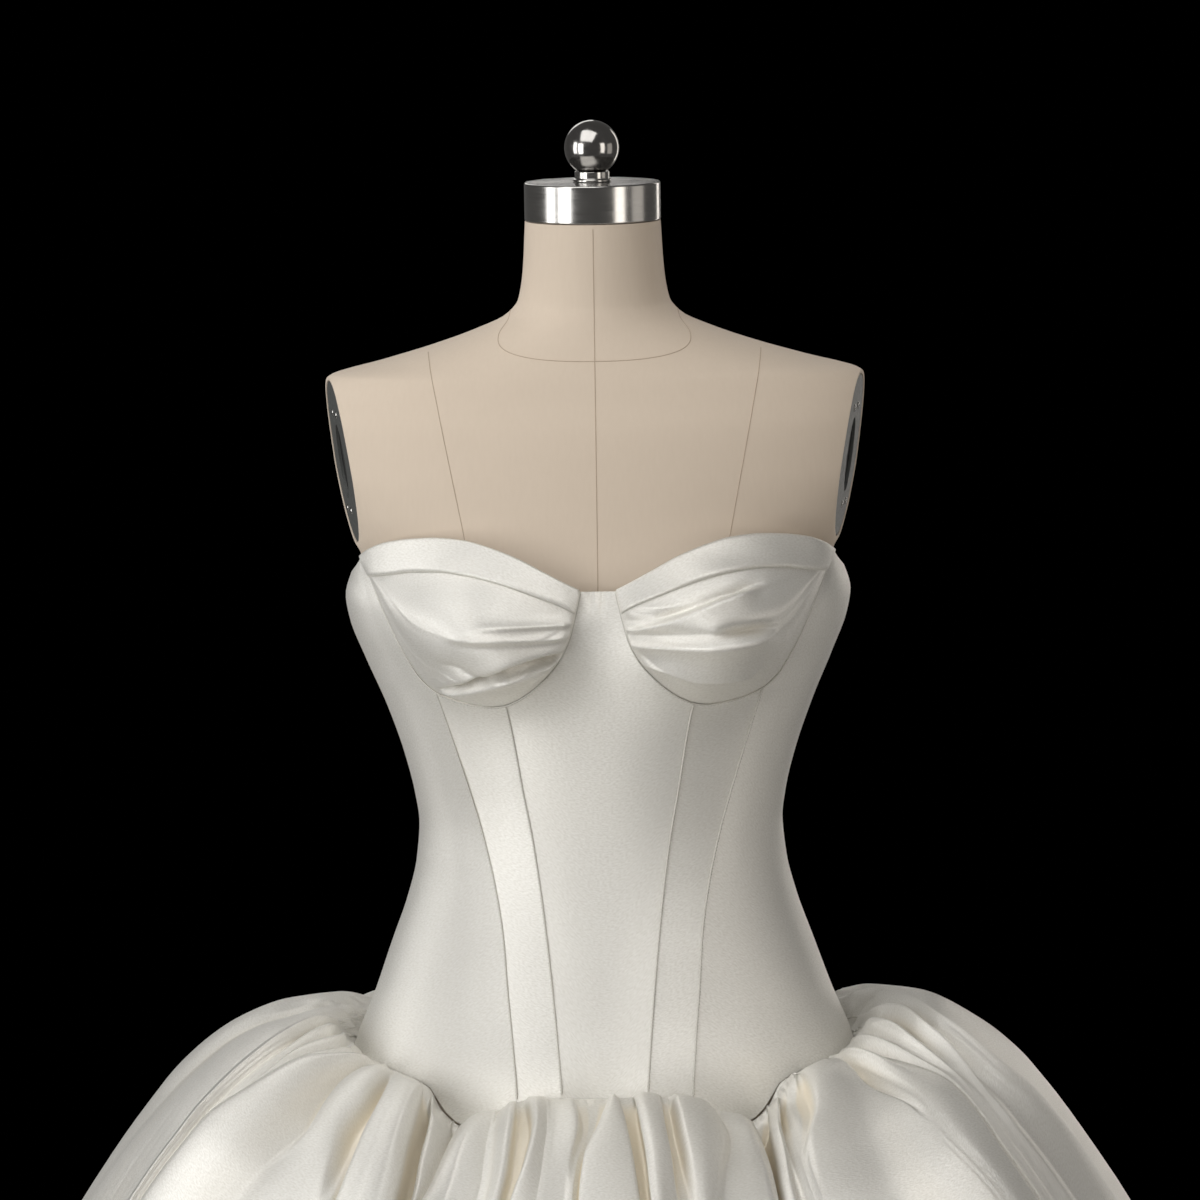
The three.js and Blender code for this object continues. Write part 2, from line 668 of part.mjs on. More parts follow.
// The zip at the centre back: a slider with a crossbar in two ears, and the tab hanging on that bar
function addZip() {
  const sliderTop = sideTop(180) - zip.topGap;
  const cloth = bodice.point(180, sliderTop - zip.height / 2).y + seamGap + 0.4;
  const earThick = 0.7;
  const barRadius = 0.5;
  const barY = cloth + zip.depth;
  const barZ = sliderTop - 2.2;
  const plateThick = 1.4;
  const plate = new THREE.BoxGeometry(2 * zip.halfWidth, plateThick, zip.height);
  let slider = solidOf(plate.translate(0, cloth + plateThick / 2, sliderTop - zip.height / 2));
  for (const way of [-1, 1]) {
    const ear = new THREE.BoxGeometry(earThick, zip.depth + 0.4, 3);
    const earX = way * (zip.halfWidth - earThick / 2);
    slider = slider.add(solidOf(ear.translate(earX, cloth + (zip.depth + 0.4) / 2 + 0.5, barZ)));
  }
  const bar = new THREE.CylinderGeometry(barRadius, barRadius, 2 * zip.halfWidth - 0.2, 12);
  slider = slider.add(solidOf(bar.rotateZ(Math.PI / 2).translate(0, barY, barZ)));
  addMesh("zip_slider", geometryOf(slider), ivoryEnamel);

  const tabHalf = zip.halfWidth - earThick - 0.35;
  const eye = barRadius + 0.35;
  const outline = new THREE.Shape();
  outline.moveTo(-tabHalf, 0);
  outline.lineTo(-zip.tabWidth / 2, -zip.tabLength + zip.tabWidth / 2);
  outline.absarc(0, -zip.tabLength + zip.tabWidth / 2, zip.tabWidth / 2, Math.PI, 2 * Math.PI);
  outline.lineTo(tabHalf, 0);
  const extrude = { depth: zip.tabThick, bevelEnabled: false, curveSegments: 8 };
  const flat = new THREE.ExtrudeGeometry(outline, extrude);
  let tab = solidOf(flat.translate(0, -eye, -zip.tabThick / 2).rotateX(Math.PI / 2));
  const collar = new THREE.CylinderGeometry(eye + 0.6, eye + 0.6, 2 * tabHalf, 16).rotateZ(Math.PI / 2);
  const hole = new THREE.CylinderGeometry(eye, eye, 4 * tabHalf, 16).rotateZ(Math.PI / 2);
  tab = tab.add(solidOf(collar)).subtract(solidOf(hole));
  addMesh("zip_pull", geometryOf(tab), ivoryEnamel).position.set(0, barY, barZ);
}

addFrontPanel();
for (const [side, name] of [[-1, "right"], [1, "left"]]) {
  addFrontSidePanel(side, name);
  addSidePanel(side, name);
  addBackPanel(side, `bodice_back_side_${name}`, backSeams.side, backSeams.princess, 7);
  addBackPanel(side, `bodice_back_${name}`, backSeams.princess, backSeams.centre, 6);
  addCup(side, name);
  addArmPlate(side, name);
}
addSkirtPanel("skirt_front", skirtSeams.frontRight, skirtSeams.frontLeft);
addSkirtPanel("skirt_side_right", skirtSeams.backRight, skirtSeams.frontRight);
addSkirtPanel("skirt_side_left", skirtSeams.frontLeft, skirtSeams.backLeft);
addSkirtPanel("skirt_back_right", -180, skirtSeams.backRight);
addSkirtPanel("skirt_back_left", skirtSeams.backLeft, 180);
addZip();
addTorso();
addNeckCap();
addStand();

export default gown;
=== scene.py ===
import math
import bmesh
import bpy
import numpy as np
from mathutils import Matrix, Vector


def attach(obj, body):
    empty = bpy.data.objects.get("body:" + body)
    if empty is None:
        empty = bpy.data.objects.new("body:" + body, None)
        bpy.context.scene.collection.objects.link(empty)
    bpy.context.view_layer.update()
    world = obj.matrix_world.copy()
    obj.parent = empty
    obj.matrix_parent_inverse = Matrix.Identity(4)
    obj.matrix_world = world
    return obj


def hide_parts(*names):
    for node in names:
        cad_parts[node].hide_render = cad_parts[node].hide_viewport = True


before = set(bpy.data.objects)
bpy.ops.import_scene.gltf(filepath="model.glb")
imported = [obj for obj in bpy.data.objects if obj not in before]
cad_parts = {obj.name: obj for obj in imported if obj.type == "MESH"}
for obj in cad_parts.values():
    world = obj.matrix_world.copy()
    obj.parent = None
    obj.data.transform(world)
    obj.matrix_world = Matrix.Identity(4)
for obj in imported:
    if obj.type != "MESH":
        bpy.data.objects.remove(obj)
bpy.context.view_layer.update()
scene = bpy.context.scene
gownBody = "gown_on_form"
mm = 0.001  # the tables are in millimetres, the meshes in metres
sides = ((-1, "right"), (1, "left"))  # the wearer's right is at -X


# Curves and small helpers
def ramp(x, low, high):
    t = np.clip((np.asarray(x, float) - low) / (high - low), 0, 1)
    return t * t * (3 - 2 * t)


def curveOf(table, at, value):
    xs = np.array(table[at], float)
    ys = np.array(table[value], float)
    secants = np.diff(ys) / np.diff(xs)
    before = np.concatenate([secants[:1], secants])
    after = np.concatenate([secants, secants[-1:]])
    total = np.where(before + after == 0, 1, before + after)
    slopes = np.where(before * after > 0, 2 * before * after / total, 0)

    def valueAt(x):
        x = np.asarray(x, float)
        i = np.clip(np.searchsorted(xs, x, side="right") - 1, 0, len(xs) - 2)
        width = xs[i + 1] - xs[i]
        t = np.clip((x - xs[i]) / width, 0, 1)
        start = (1 + 2 * t) * (1 - t) ** 2 * ys[i] + t * (1 - t) ** 2 * width * slopes[i]
        end = t * t * (3 - 2 * t) * ys[i + 1] - t * t * (1 - t) * width * slopes[i + 1]
        return start + end

    return valueAt


def unit(v):
    return v / np.maximum(np.linalg.norm(v, axis=-1, keepdims=True), 1e-9)


def addObject(name, data):
    piece = bpy.data.objects.new(name, data)
    scene.collection.objects.link(piece)
    return piece


def smoothMesh(mesh, sharpFrom=None):
    mesh.polygons.foreach_set("use_smooth", [True] * len(mesh.polygons))
    if sharpFrom:
        mesh.set_sharp_from_angle(angle=math.radians(sharpFrom))
    mesh.update()


def softEdges(piece, width, segments, fromAngle, harden=False):
    edge = piece.modifiers.new("edge", "BEVEL")
    edge.width = width * mm
    edge.segments = segments
    edge.limit_method = "ANGLE"
    edge.angle_limit = math.radians(fromAngle)
    edge.harden_normals = harden


# A bmesh made into a piece, its faces turned outwards
def shapedObject(name, shape, materials, sharpFrom):
    bmesh.ops.recalc_face_normals(shape, faces=shape.faces)
    mesh = bpy.data.meshes.new(name)
    shape.to_mesh(mesh)
    shape.free()
    for material in materials:
        mesh.materials.append(material)
    smoothMesh(mesh, sharpFrom)
    return addObject(name, mesh)


# A grid of points in millimetres, rows going up and columns to the right seen from outside
def gridObject(name, points, material, valley=None):
    rows, columns = points.shape[:2]
    corner = np.arange(rows * columns).reshape(rows, columns)
    ring = [corner[:-1, :-1], corner[:-1, 1:], corner[1:, 1:], corner[1:, :-1]]
    quads = np.stack(ring, -1).reshape(-1, 4)
    mesh = bpy.data.meshes.new(name)
    mesh.from_pydata((points.reshape(-1, 3) * mm).tolist(), [], quads.tolist())
    uv = np.zeros((rows, columns, 2))  # lengths along the cloth, from the middle column and the top row
    uv[:, 1:, 0] = np.cumsum(np.linalg.norm(np.diff(points, axis=1), axis=-1), 1)
    uv[1:, :, 1] = np.cumsum(np.linalg.norm(np.diff(points, axis=0), axis=-1), 0)
    uv[..., 0] -= uv[:, columns // 2, 0][:, None]
    uv[..., 1] -= uv[-1, :, 1].copy()
    layer = mesh.uv_layers.new(name="cloth")
    layer.data.foreach_set("uv", (uv.reshape(-1, 2)[quads.reshape(-1)] * mm).ravel())
    # An optional amount of painted fold shade per point, kept as an attribute for the satin
    if valley is not None:
        shade = mesh.attributes.new("valley", "FLOAT", "POINT")
        shade.data.foreach_set("value", np.ascontiguousarray(valley, dtype=np.float32).ravel())
    mesh.materials.append(material)
    smoothMesh(mesh)
    return addObject(name, mesh)


def thicken(piece, thickness):
    wall = piece.modifiers.new("wall", "SOLIDIFY")
    wall.thickness = thickness * mm
    wall.offset = -1
    wall.use_rim = True
    return piece


def roundTurns(count):
    return [2 * math.pi * k / count for k in range(count)]


turnedFinish = {"sharpFrom": 35, "bevelSteps": 3}


# A turned piece from its profile, radius and height from the axis round to the axis
def turnedObject(name, profile, segments, material, bevel=0.0):
    shape = bmesh.new()
    rings = []
    for radius, height in profile:
        if radius == 0:
            rings.append([shape.verts.new((0, 0, height * mm))])
            continue
        flat = [(radius * mm * math.cos(t), radius * mm * math.sin(t)) for t in roundTurns(segments)]
        rings.append([shape.verts.new((x, y, height * mm)) for x, y in flat])
    for low, high in zip(rings, rings[1:]):
        for k in range(segments):
            n = (k + 1) % segments
            ring = [low[k % len(low)], low[n % len(low)], high[n % len(high)], high[k % len(high)]]
            shape.faces.new(list(dict.fromkeys(ring)))
    piece = shapedObject(name, shape, [material], turnedFinish["sharpFrom"])
    if bevel:
        softEdges(piece, bevel, turnedFinish["bevelSteps"], turnedFinish["sharpFrom"], harden=True)
    return piece


# Node building, for materials and for the trees that repeat small pieces
def addNode(tree, kind, inputs, settings):
    node = tree.nodes.new(kind)
    for key, value in settings.items():
        setattr(node, key, value)
    for socket, value in (inputs or {}).items():
        if isinstance(value, bpy.types.NodeSocket):
            tree.links.new(value, node.inputs[socket])
        else:
            node.inputs[socket].default_value = value
    return node


noiseRange = {"From Min": 0.3, "From Max": 0.7}  # where most of a noise texture's values lie


class NodeSheet:
    def __init__(self, name):
        self.material = bpy.data.materials.new(name)
        self.material.use_nodes = True
        self.tree = self.material.node_tree
        self.shader = self.tree.nodes["Principled BSDF"]
        self.place = self.tree.nodes.new("ShaderNodeTexCoord")

    def set(self, **values):
        for socket, value in values.items():
            self.shader.inputs[socket.replace("_", " ")].default_value = value

    def add(self, kind, inputs=None, **settings):
        return addNode(self.tree, kind, inputs, settings)

    def mapped(self, coordinate, scale=(1, 1, 1), turn=0.0):
        inputs = {"Vector": self.place.outputs[coordinate], "Scale": scale}
        inputs["Rotation"] = (0, 0, math.radians(turn))
        return self.add("ShaderNodeMapping", inputs).outputs["Vector"]

    def noise(self, vector, scale, detail=3.0):
        inputs = {"Vector": vector, "Scale": scale, "Detail": detail}
        return self.add("ShaderNodeTexNoise", inputs).outputs["Fac"]

    def wave(self, vector, scale, distortion=0.0):
        inputs = {"Vector": vector, "Scale": scale, "Distortion": distortion, "Detail": 1.0}
        return self.add("ShaderNodeTexWave", inputs).outputs["Fac"]

    def math(self, operation, a, b):
        return self.add("ShaderNodeMath", {0: a, 1: b}, operation=operation).outputs[0]

    def blended(self, first, firstShare, second, secondShare):
        parts = (self.math("MULTIPLY", first, firstShare), self.math("MULTIPLY", second, secondShare))
        return self.math("ADD", *parts)

    def spread(self, value, low, high):
        inputs = {"Value": value, **noiseRange, "To Min": low, "To Max": high}
        return self.add("ShaderNodeMapRange", inputs).outputs["Result"]

    def mixed(self, factor, first, second):
        colours = [c if isinstance(c, bpy.types.NodeSocket) else (*c, 1) for c in (first, second)]
        inputs = {0: factor, 6: colours[0], 7: colours[1]}
        return self.add("ShaderNodeMix", inputs, data_type="RGBA").outputs[2]

    def join(self, value, socket):
        self.tree.links.new(value, self.shader.inputs[socket])

    def bump(self, height, strength, depth, under=None):
        inputs = {"Height": height, "Strength": strength, "Distance": depth}
        if under:
            inputs["Normal"] = under
        return self.add("ShaderNodeBump", inputs).outputs["Normal"]


# Scales are per metre, a bump is its strength and its depth in metres
satinFinish = {
    "light": (0.92, 0.905, 0.86),
    "deep": (0.775, 0.755, 0.70),
    "valley": (0.92, 0.835, 0.675),  # painted shade: the warm colour mixed into the depth of a fold
    "valleyShare": 0.7,
    "roughness": (0.40, 0.52),
    "threads": 800.0,  # seen as a fine diagonal twill
    "threadSway": 1.5,
    "threadShare": 0.5,
    "grain": (420.0, 900.0, 1.0),  # uneven threads, along and across the twill
    "grainShare": 0.88,
    "clouds": 9.0,
    "cloudShare": 0.12,
    "weaveBump": (0.55, 0.00030),
    "ripples": 34.0,
    "rippleBump": (0.10, 0.0012),
}


def satinMaterial(name, turn):
    finish = satinFinish
    sheet = NodeSheet(name)
    body = sheet.mapped("Object")
    grain = sheet.noise(sheet.mapped("UV", finish["grain"], turn), 1.0)
    clouds = sheet.noise(body, finish["clouds"])
    tint = sheet.spread(sheet.blended(clouds, finish["cloudShare"], grain, finish["grainShare"]), 0.0, 1.0)
    colour = sheet.mixed(tint, finish["light"], finish["deep"])
    # Painted shade: the warm fold colour is mixed in by the per-point painted shade amount
    valley = sheet.add("ShaderNodeAttribute", attribute_name="valley").outputs["Fac"]
    depth = sheet.math("MULTIPLY", valley, finish["valleyShare"])
    sheet.join(sheet.mixed(depth, colour, finish["valley"]), "Base Color")
    sheet.join(sheet.spread(grain, *finish["roughness"]), "Roughness")
    twill = sheet.wave(sheet.mapped("UV", turn=turn), finish["threads"], finish["threadSway"])
    threads = sheet.math("ADD", sheet.math("MULTIPLY", twill, finish["threadShare"]), grain)
    weave = sheet.bump(threads, *finish["weaveBump"])
    ripples = sheet.noise(body, finish["ripples"], 2.0)
    sheet.join(sheet.bump(ripples, *finish["rippleBump"], weave), "Normal")
    sheet.set(Metallic=0.62, IOR=1.6, Sheen_Weight=0.05, Sheen_Roughness=0.4)
    return sheet.material


linenFinish = {
    "light": (0.66, 0.56, 0.455),
    "deep": (0.60, 0.505, 0.405),
    "roughness": (0.72, 0.86),
    "threads": 620.0,
    "threadSway": 2.0,
    "streaks": (420, 420, 60),
    "streakShare": 0.4,
    "clouds": 7.0,
    "cloudShare": 0.6,
    "weaveBump": (0.22, 0.00018),
}


def linenMaterial():
    finish = linenFinish
    sheet = NodeSheet("linen cover")
    streaks = sheet.noise(sheet.mapped("Object", finish["streaks"]), 1.0, 2.0)
    clouds = sheet.noise(sheet.mapped("Object"), finish["clouds"])
    tint = sheet.blended(clouds, finish["cloudShare"], streaks, finish["streakShare"])
    sheet.join(sheet.mixed(tint, finish["light"], finish["deep"]), "Base Color")
    sheet.join(sheet.spread(streaks, *finish["roughness"]), "Roughness")
    warp = sheet.wave(sheet.mapped("UV"), finish["threads"], finish["threadSway"])
    weft = sheet.wave(sheet.mapped("UV", turn=90), finish["threads"], finish["threadSway"])
    sheet.join(sheet.bump(sheet.math("ADD", warp, weft), *finish["weaveBump"]), "Normal")
    sheet.set(Specular_IOR_Level=0.3, Sheen_Weight=0.15, Sheen_Roughness=0.5)
    return sheet.material


metalFinish = {"clouds": 60.0, "scratchBump": (0.06, 0.00006)}
plainFinish = {"grain": 400.0, "grainBump": (0.05, 0.0001)}


def metalMaterial(name, light, deep, roughness, brush):
    sheet = NodeSheet(name)
    scratches = sheet.noise(sheet.mapped("Object", brush), 1.0)
    clouds = sheet.noise(sheet.mapped("Object"), metalFinish["clouds"])
    sheet.join(sheet.mixed(clouds, light, deep), "Base Color")
    sheet.join(sheet.spread(scratches, *roughness), "Roughness")
    sheet.join(sheet.bump(scratches, *metalFinish["scratchBump"]), "Normal")
    sheet.set(Metallic=1.0)
    return sheet.material


def plainMaterial(name, light, deep, roughness):
    sheet = NodeSheet(name)
    grain = sheet.noise(sheet.mapped("Object"), plainFinish["grain"])
    sheet.join(sheet.mixed(grain, light, deep), "Base Color")
    sheet.join(sheet.spread(grain, *roughness), "Roughness")
    sheet.join(sheet.bump(grain, *plainFinish["grainBump"]), "Normal")
    return sheet.material


# Light colour, deep colour, roughness and, for metal, the brushing's scale
evenly = (300, 300, 300)
upright = (40, 40, 1600)
satin = satinMaterial("ivory satin", 45)
satinBias = satinMaterial("ivory satin on the bias", 10)
# The seam cords have the satin's own ivory, coloured darker than the gown's satin as painted shade along the
# raised seams
shadedSeamCord = plainMaterial("ivory seam cord with painted shade", (0.69, 0.67, 0.62), (0.54, 0.52, 0.475), (0.45, 0.6))
linen = linenMaterial()
formThread = plainMaterial("form seam thread", (0.47, 0.375, 0.29), (0.40, 0.315, 0.24), (0.7, 0.85))
steel = metalMaterial("brushed steel", (0.52, 0.51, 0.49), (0.40, 0.39, 0.375), (0.14, 0.24), upright)
ballSteel = metalMaterial("polished steel", (0.40, 0.39, 0.375), (0.30, 0.29, 0.28), (0.10, 0.20), evenly)
plateSteel = plainMaterial("dark plate", (0.085, 0.088, 0.084), (0.055, 0.058, 0.056), (0.42, 0.55))
standSteel = metalMaterial("dark base", (0.16, 0.16, 0.165), (0.11, 0.11, 0.115), (0.35, 0.5), evenly)
# The recess floor behind the arm plates' slots is painted near black: painted shade of the hollow inside the
# form
paintedSlotShade = plainMaterial("painted slot shade", (0.012, 0.012, 0.012), (0.02, 0.02, 0.02), (0.6, 0.8))
zipEnamel = plainMaterial("ivory zip enamel", (0.76, 0.73, 0.67), (0.70, 0.67, 0.60), (0.3, 0.42))
print("materials ready")

# The camera at the photo's angle
viewSetup = {
    "place": (0, -3.6, 1.7677), "aim": (0, 0, 1.215), "roll": -0.8, "lens": 151.76, "sensor": 36,
    "shift": 2 / 1200, "farthest": 60,
}


def aimed(place, aim):
    turn = (Vector(aim) - Vector(place)).to_track_quat("-Z", "Y").to_matrix().to_4x4()
    return Matrix.Translation(place) @ turn


def addCamera():
    camera = addObject("camera", bpy.data.cameras.new("camera"))
    roll = Matrix.Rotation(math.radians(viewSetup["roll"]), 4, "Z")
    camera.matrix_world = aimed(viewSetup["place"], viewSetup["aim"]) @ roll
    camera.data.lens = viewSetup["lens"]
    camera.data.sensor_width = viewSetup["sensor"]
    camera.data.shift_x = viewSetup["shift"]
    camera.data.clip_end = viewSetup["farthest"]
    scene.camera = camera


# Soft boxes left and right of the camera and above it, narrow ones behind, and a dim room
lightBoxes = {
    "key": {"place": (-2.42, -2.18, 1.4), "size": (1.25, 2.3), "power": 43, "colour": (1.0, 0.995, 0.985)},
    "side": {"place": (-3.1, -0.85, 1.5), "size": (1.0, 2.2), "power": 25, "colour": (1.0, 0.995, 0.985)},
    "fill": {"place": (2.36, -2.2, 1.5), "size": (1.0, 2.2), "power": 18.5, "colour": (1.0, 0.95, 0.89)},
    "rim": {"place": (1.5, 2.2, 1.5), "size": (0.5, 2.2), "power": 7, "colour": (1.0, 0.95, 0.89)},
    "reflector": {"place": (3.1, -0.4, 1.3), "size": (1.4, 1.8), "power": 5, "colour": (1.0, 0.94, 0.87)},
    "back": {"place": (-0.6, 3.2, 2.6), "size": (1.4, 1.2), "power": 8, "colour": (1.0, 0.98, 0.95)},
    "top": {"place": (-0.6, -1.3, 3.4), "size": (2.4, 2.2), "power": 40, "colour": (1.0, 0.99, 0.975)},
}
studio = {
    "aim": (0, 0, 1.1), "room": 0.10, "roomColour": (1.0, 0.98, 0.95, 1), "floorRadius": 1600,
    "floorThick": 4, "floorSides": 96, "floorColour": (0.66, 0.65, 0.63), "floorRoughness": (0.6, 0.7),
}


def addStudio():
    for name, box in lightBoxes.items():
        data = bpy.data.lights.new(name, "AREA")
        data.shape = "RECTANGLE"
        data.size, data.size_y = box["size"]
        data.energy = box["power"]
        data.color = box["colour"]
        addObject(name, data).matrix_world = aimed(box["place"], studio["aim"])
    world = bpy.data.worlds.new("room")
    world.use_nodes = True
    nodes = world.node_tree.nodes
    path = nodes.new("ShaderNodeLightPath")
    seen = nodes.new("ShaderNodeMapRange")  # the room lights the gown and stays black behind it
    seen.inputs["To Min"].default_value = studio["room"]
    seen.inputs["To Max"].default_value = 0.0
    world.node_tree.links.new(path.outputs["Is Camera Ray"], seen.inputs["Value"])
    world.node_tree.links.new(seen.outputs["Result"], nodes["Background"].inputs["Strength"])
    nodes["Background"].inputs["Color"].default_value = studio["roomColour"]
    scene.world = world
    scene.view_settings.view_transform = "Standard"
    colour = studio["floorColour"]
    floorMaterial = plainMaterial("pale floor", colour, colour, studio["floorRoughness"])
    radius, low = studio["floorRadius"], -studio["floorThick"]
    profile = [(0, low), (radius, low), (radius, 0), (0, 0)]
    turnedObject("floor", profile, studio["floorSides"], floorMaterial)


addCamera()
addStudio()
print("camera and studio ready")

# The gown's outer face and the dress form under it
bust = {
    "angle": 30, "shift": 0.8, "spread": 17, "blend": 60, "z": 1204, "above": 46, "below": 40, "gown": 40,
    "form": 27,
}
probe = {"angle": 0.3, "z": 0.5}  # how far apart a surface's direction is measured
gownFit = {
    "z": [840, 889, 930, 965, 1000, 1028, 1056, 1076, 1105, 1142, 1178, 1206, 1222, 1242, 1275],
    "half": [191, 182, 166, 153.5, 141, 134, 131.4, 134, 141, 153.5, 168.5, 179, 181.5, 176, 168],
    "front": [125, 120, 110, 103, 97, 94, 93, 94, 98, 104, 109, 112, 113, 112, 108],
    "back": [134, 129, 116, 105, 96, 91, 89, 90, 94, 100, 106, 109, 110, 110, 108],
}


def figureSurface(table, mound):
    half = curveOf(table, "z", "half")
    front = curveOf(table, "z", "front")
    back = curveOf(table, "z", "back")

    def at(angle, z):
        turn = np.radians(angle)
        depth = np.where(np.cos(turn) > 0, front(z), back(z))
        across = (np.sqrt(angle**2 + bust["blend"]) - bust["angle"] - bust["shift"]) / bust["spread"]
        along = (z - bust["z"]) / np.where(z > bust["z"], bust["above"], bust["below"])
        y = -depth * np.cos(turn) - mound * np.exp(-across**2 - along**2)
        return np.stack(np.broadcast_arrays(half(z) * np.sin(turn), y, z), -1)

    def normal(angle, z):
        across = at(angle + probe["angle"], z) - at(angle - probe["angle"], z)
        return unit(np.cross(across, at(angle, z + probe["z"]) - at(angle, z - probe["z"])))

    def point(angle, z, out=0.0):
        angle, z, out = np.broadcast_arrays(*(np.asarray(v, float) for v in (angle, z, out)))
        return at(angle, z) + normal(angle, z) * out[..., None]

    def angleOf(x, z):
        return np.degrees(np.arcsin(np.clip(x / half(z), -1, 1)))

    return {"point": point, "normal": normal, "angleOf": angleOf}


bodice = figureSurface(gownFit, bust["gown"])

princess = {
    "z": [840, 880, 915, 950, 985, 1020, 1056, 1093, 1131, 1163],
    "inner": [29, 30.5, 33, 36, 39.5, 43.5, 48.5, 55, 61, 67],
    "outer": [61.5, 62.5, 65, 68, 70.5, 75.5, 83.5, 94, 105.5, 115],
}
cupSeam = {
    "x": [12, 17, 21, 28, 37, 48, 58, 67, 77, 90, 104, 115, 125.5, 136, 146, 156, 166.5],
    "z": [1238.5, 1217, 1203, 1189, 1178, 1167.5, 1160.5, 1156.5, 1155, 1156.2, 1159, 1163, 1171, 1187,
          1206.5, 1228, 1252],
}
neckline = {
    "x": [12, 25, 40, 55, 73.5, 90, 107, 125, 142, 156, 166.5],
    "z": [1238.8, 1244.5, 1251.5, 1259, 1266, 1270.5, 1271.8, 1270.3, 1266.5, 1260, 1252.4],
    "band": [1221, 1227.5, 1232.5, 1237.5, 1243, 1246.5, 1248.3, 1247.3, 1244, 1241.5, 1239.5],
}
sideEdge = {"angle": [70, 82, 94, 120, 150, 180], "z": [1252.5, 1243, 1235.5, 1222, 1212, 1207]}
cup = {
    "inner": 12, "outer": 166.5, "bulge": 7.5, "under": 77, "goreCorner": 1156.5, "armCorner": 1163,
    "halvings": 30,
}
waistLine = {
    "angle": [0, 14, 20, 26, 32.5, 38, 43, 50, 64, 90, 180],
    "z": [877, 877, 872.5, 863, 854, 863, 879, 884.5, 888, 889, 885],
    "side": 889,
}
backSeams = {"side": 93, "princess": 141, "centre": 180}

innerSeam = curveOf(princess, "z", "inner")
outerSeam = curveOf(princess, "z", "outer")
cupLower = curveOf(cupSeam, "x", "z")
cupTop = curveOf(neckline, "x", "z")
bandLower = curveOf(neckline, "x", "band")
sideTop = curveOf(sideEdge, "angle", "z")


def waistSeamAt(angle):
    return curveOf(waistLine, "angle", "z")(np.abs(angle))


# Where the cup's seam passes a height, between its lowest point and the given end
def cupSeamX(z, end):
    low = np.full(np.shape(z), float(cup["under"]))
    high = np.full(np.shape(z), float(end))
    for _ in range(cup["halvings"]):
        middle = (low + high) / 2
        below = cupLower(middle) < z
        low = np.where(below, middle, low)
        high = np.where(below, high, middle)
    return low


# Bodice panels: a fine grid between two seams, its edges turned in at the stitching
panelCloth = {
    "wall": 1.4, "rowStep": 4.0, "columnStep": 3.0, "fewestRows": 2, "fewestColumns": 8,
    "edgeColumns": [0, 0.35, 0.8, 1.4, 2.2], "edgeRows": [0.25, 0.8], "edgeDip": 0.05, "edgeWidth": 0.9,
    "ease": 0.2, "fineEase": 0.6, "measuredAt": 1000.0,
}
clothWaves = {"x": (23, -67, 11), "z": (41, 29, -53), "start": (0.7, 0.0, 2.1)}


def edgeShares(width):
    count = max(panelCloth["fewestColumns"], int(width / panelCloth["columnStep"]))
    edges = np.array(panelCloth["edgeColumns"]) / width
    inner = np.linspace(0, 1, count + 1)[1:-1]
    inner = inner[(inner > edges[-1]) & (inner < 1 - edges[-1])]
    return np.unique(np.concatenate([edges, inner, 1 - edges]))


# The slight unevenness of stretched cloth
def clothEase(points):
    x, z = points[..., 0], points[..., 2]
    waves = zip(clothWaves["x"], clothWaves["z"], clothWaves["start"])
    slow, cross, fine = [np.sin(x / across + z / down + start) for across, down, start in waves]
    return panelCloth["ease"] * (slow * cross + panelCloth["fineEase"] * fine)


def between(left, right, share):
    return lambda z: left(z) + (right(z) - left(z)) * share


def bodicePanel(name, left, right, levels, relief=None):
    level = panelCloth["measuredAt"]
    across = bodice["point"](right(level), level) - bodice["point"](left(level), level)
    width = float(np.max(np.abs(across)))
    close = np.array(panelCloth["edgeRows"])
    counts = None
    columns = []
    for share in edgeShares(width):
        angleAt = between(left, right, share)
        stops = [float(v) for v in levels(angleAt)]
        spans = list(zip(stops, stops[1:]))
        if counts is None:
            counts = [max(panelCloth["fewestRows"], int((b - a) / panelCloth["rowStep"])) for a, b in spans]
        rows = [np.linspace(a, b, n, endpoint=False) for (a, b), n in zip(spans, counts)]
        inner = np.concatenate(rows)[1:]
        heights = np.concatenate([stops[:1], stops[0] + close, inner, stops[-1] - close[::-1], stops[-1:]])
        angles = angleAt(heights)
        base = bodice["point"](angles, heights)
        fromEdge = min(share, 1 - share) * width
        out = -panelCloth["edgeDip"] * np.exp(-((fromEdge / panelCloth["edgeWidth"]) ** 2))
        out = out + clothEase(base)
        if relief:
            out = out + relief(base)
        columns.append(base + bodice["normal"](angles, heights) * out[:, None])
    return thicken(gridObject(name, np.stack(columns, 1), satin), panelCloth["wall"])


# Tiny tucks where the gore is gathered at its top
goreTucks = {
    "top": 1244, "width": 1.5, "fadeFrom": 0.3, "edge": (9, 12.5),
    "x": [-8, -4.5, -0.5, 3.5, 8],
    "lean": [0.14, -0.06, 0.12, -0.03, -0.16],
    "length": [13, 22, 16, 27, 12],
    "depth": [1.3, 1.9, 1.2, 2.0, 1.3],
}


def goreRelief(points):
    x, down = points[..., 0], goreTucks["top"] - points[..., 2]
    relief = np.zeros_like(x)
    for at, lean, length, depth in zip(*(goreTucks[key] for key in ("x", "lean", "length", "depth"))):
        away = (x - at - lean * down) / goreTucks["width"]
        relief -= depth * np.exp(-(away**2)) * (1 - ramp(down, goreTucks["fadeFrom"] * length, length))
    return relief * (1 - ramp(np.abs(x), *goreTucks["edge"]))


def frontEdge(z):
    x = np.where(z <= cup["goreCorner"], innerSeam(z), cupSeamX(z, cup["inner"]))
    return bodice["angleOf"](x, z)


def sideEdgeAngle(z):
    x = np.where(z <= cup["armCorner"], outerSeam(z), cupSeamX(z, cup["outer"]))
    return bodice["angleOf"](x, z)


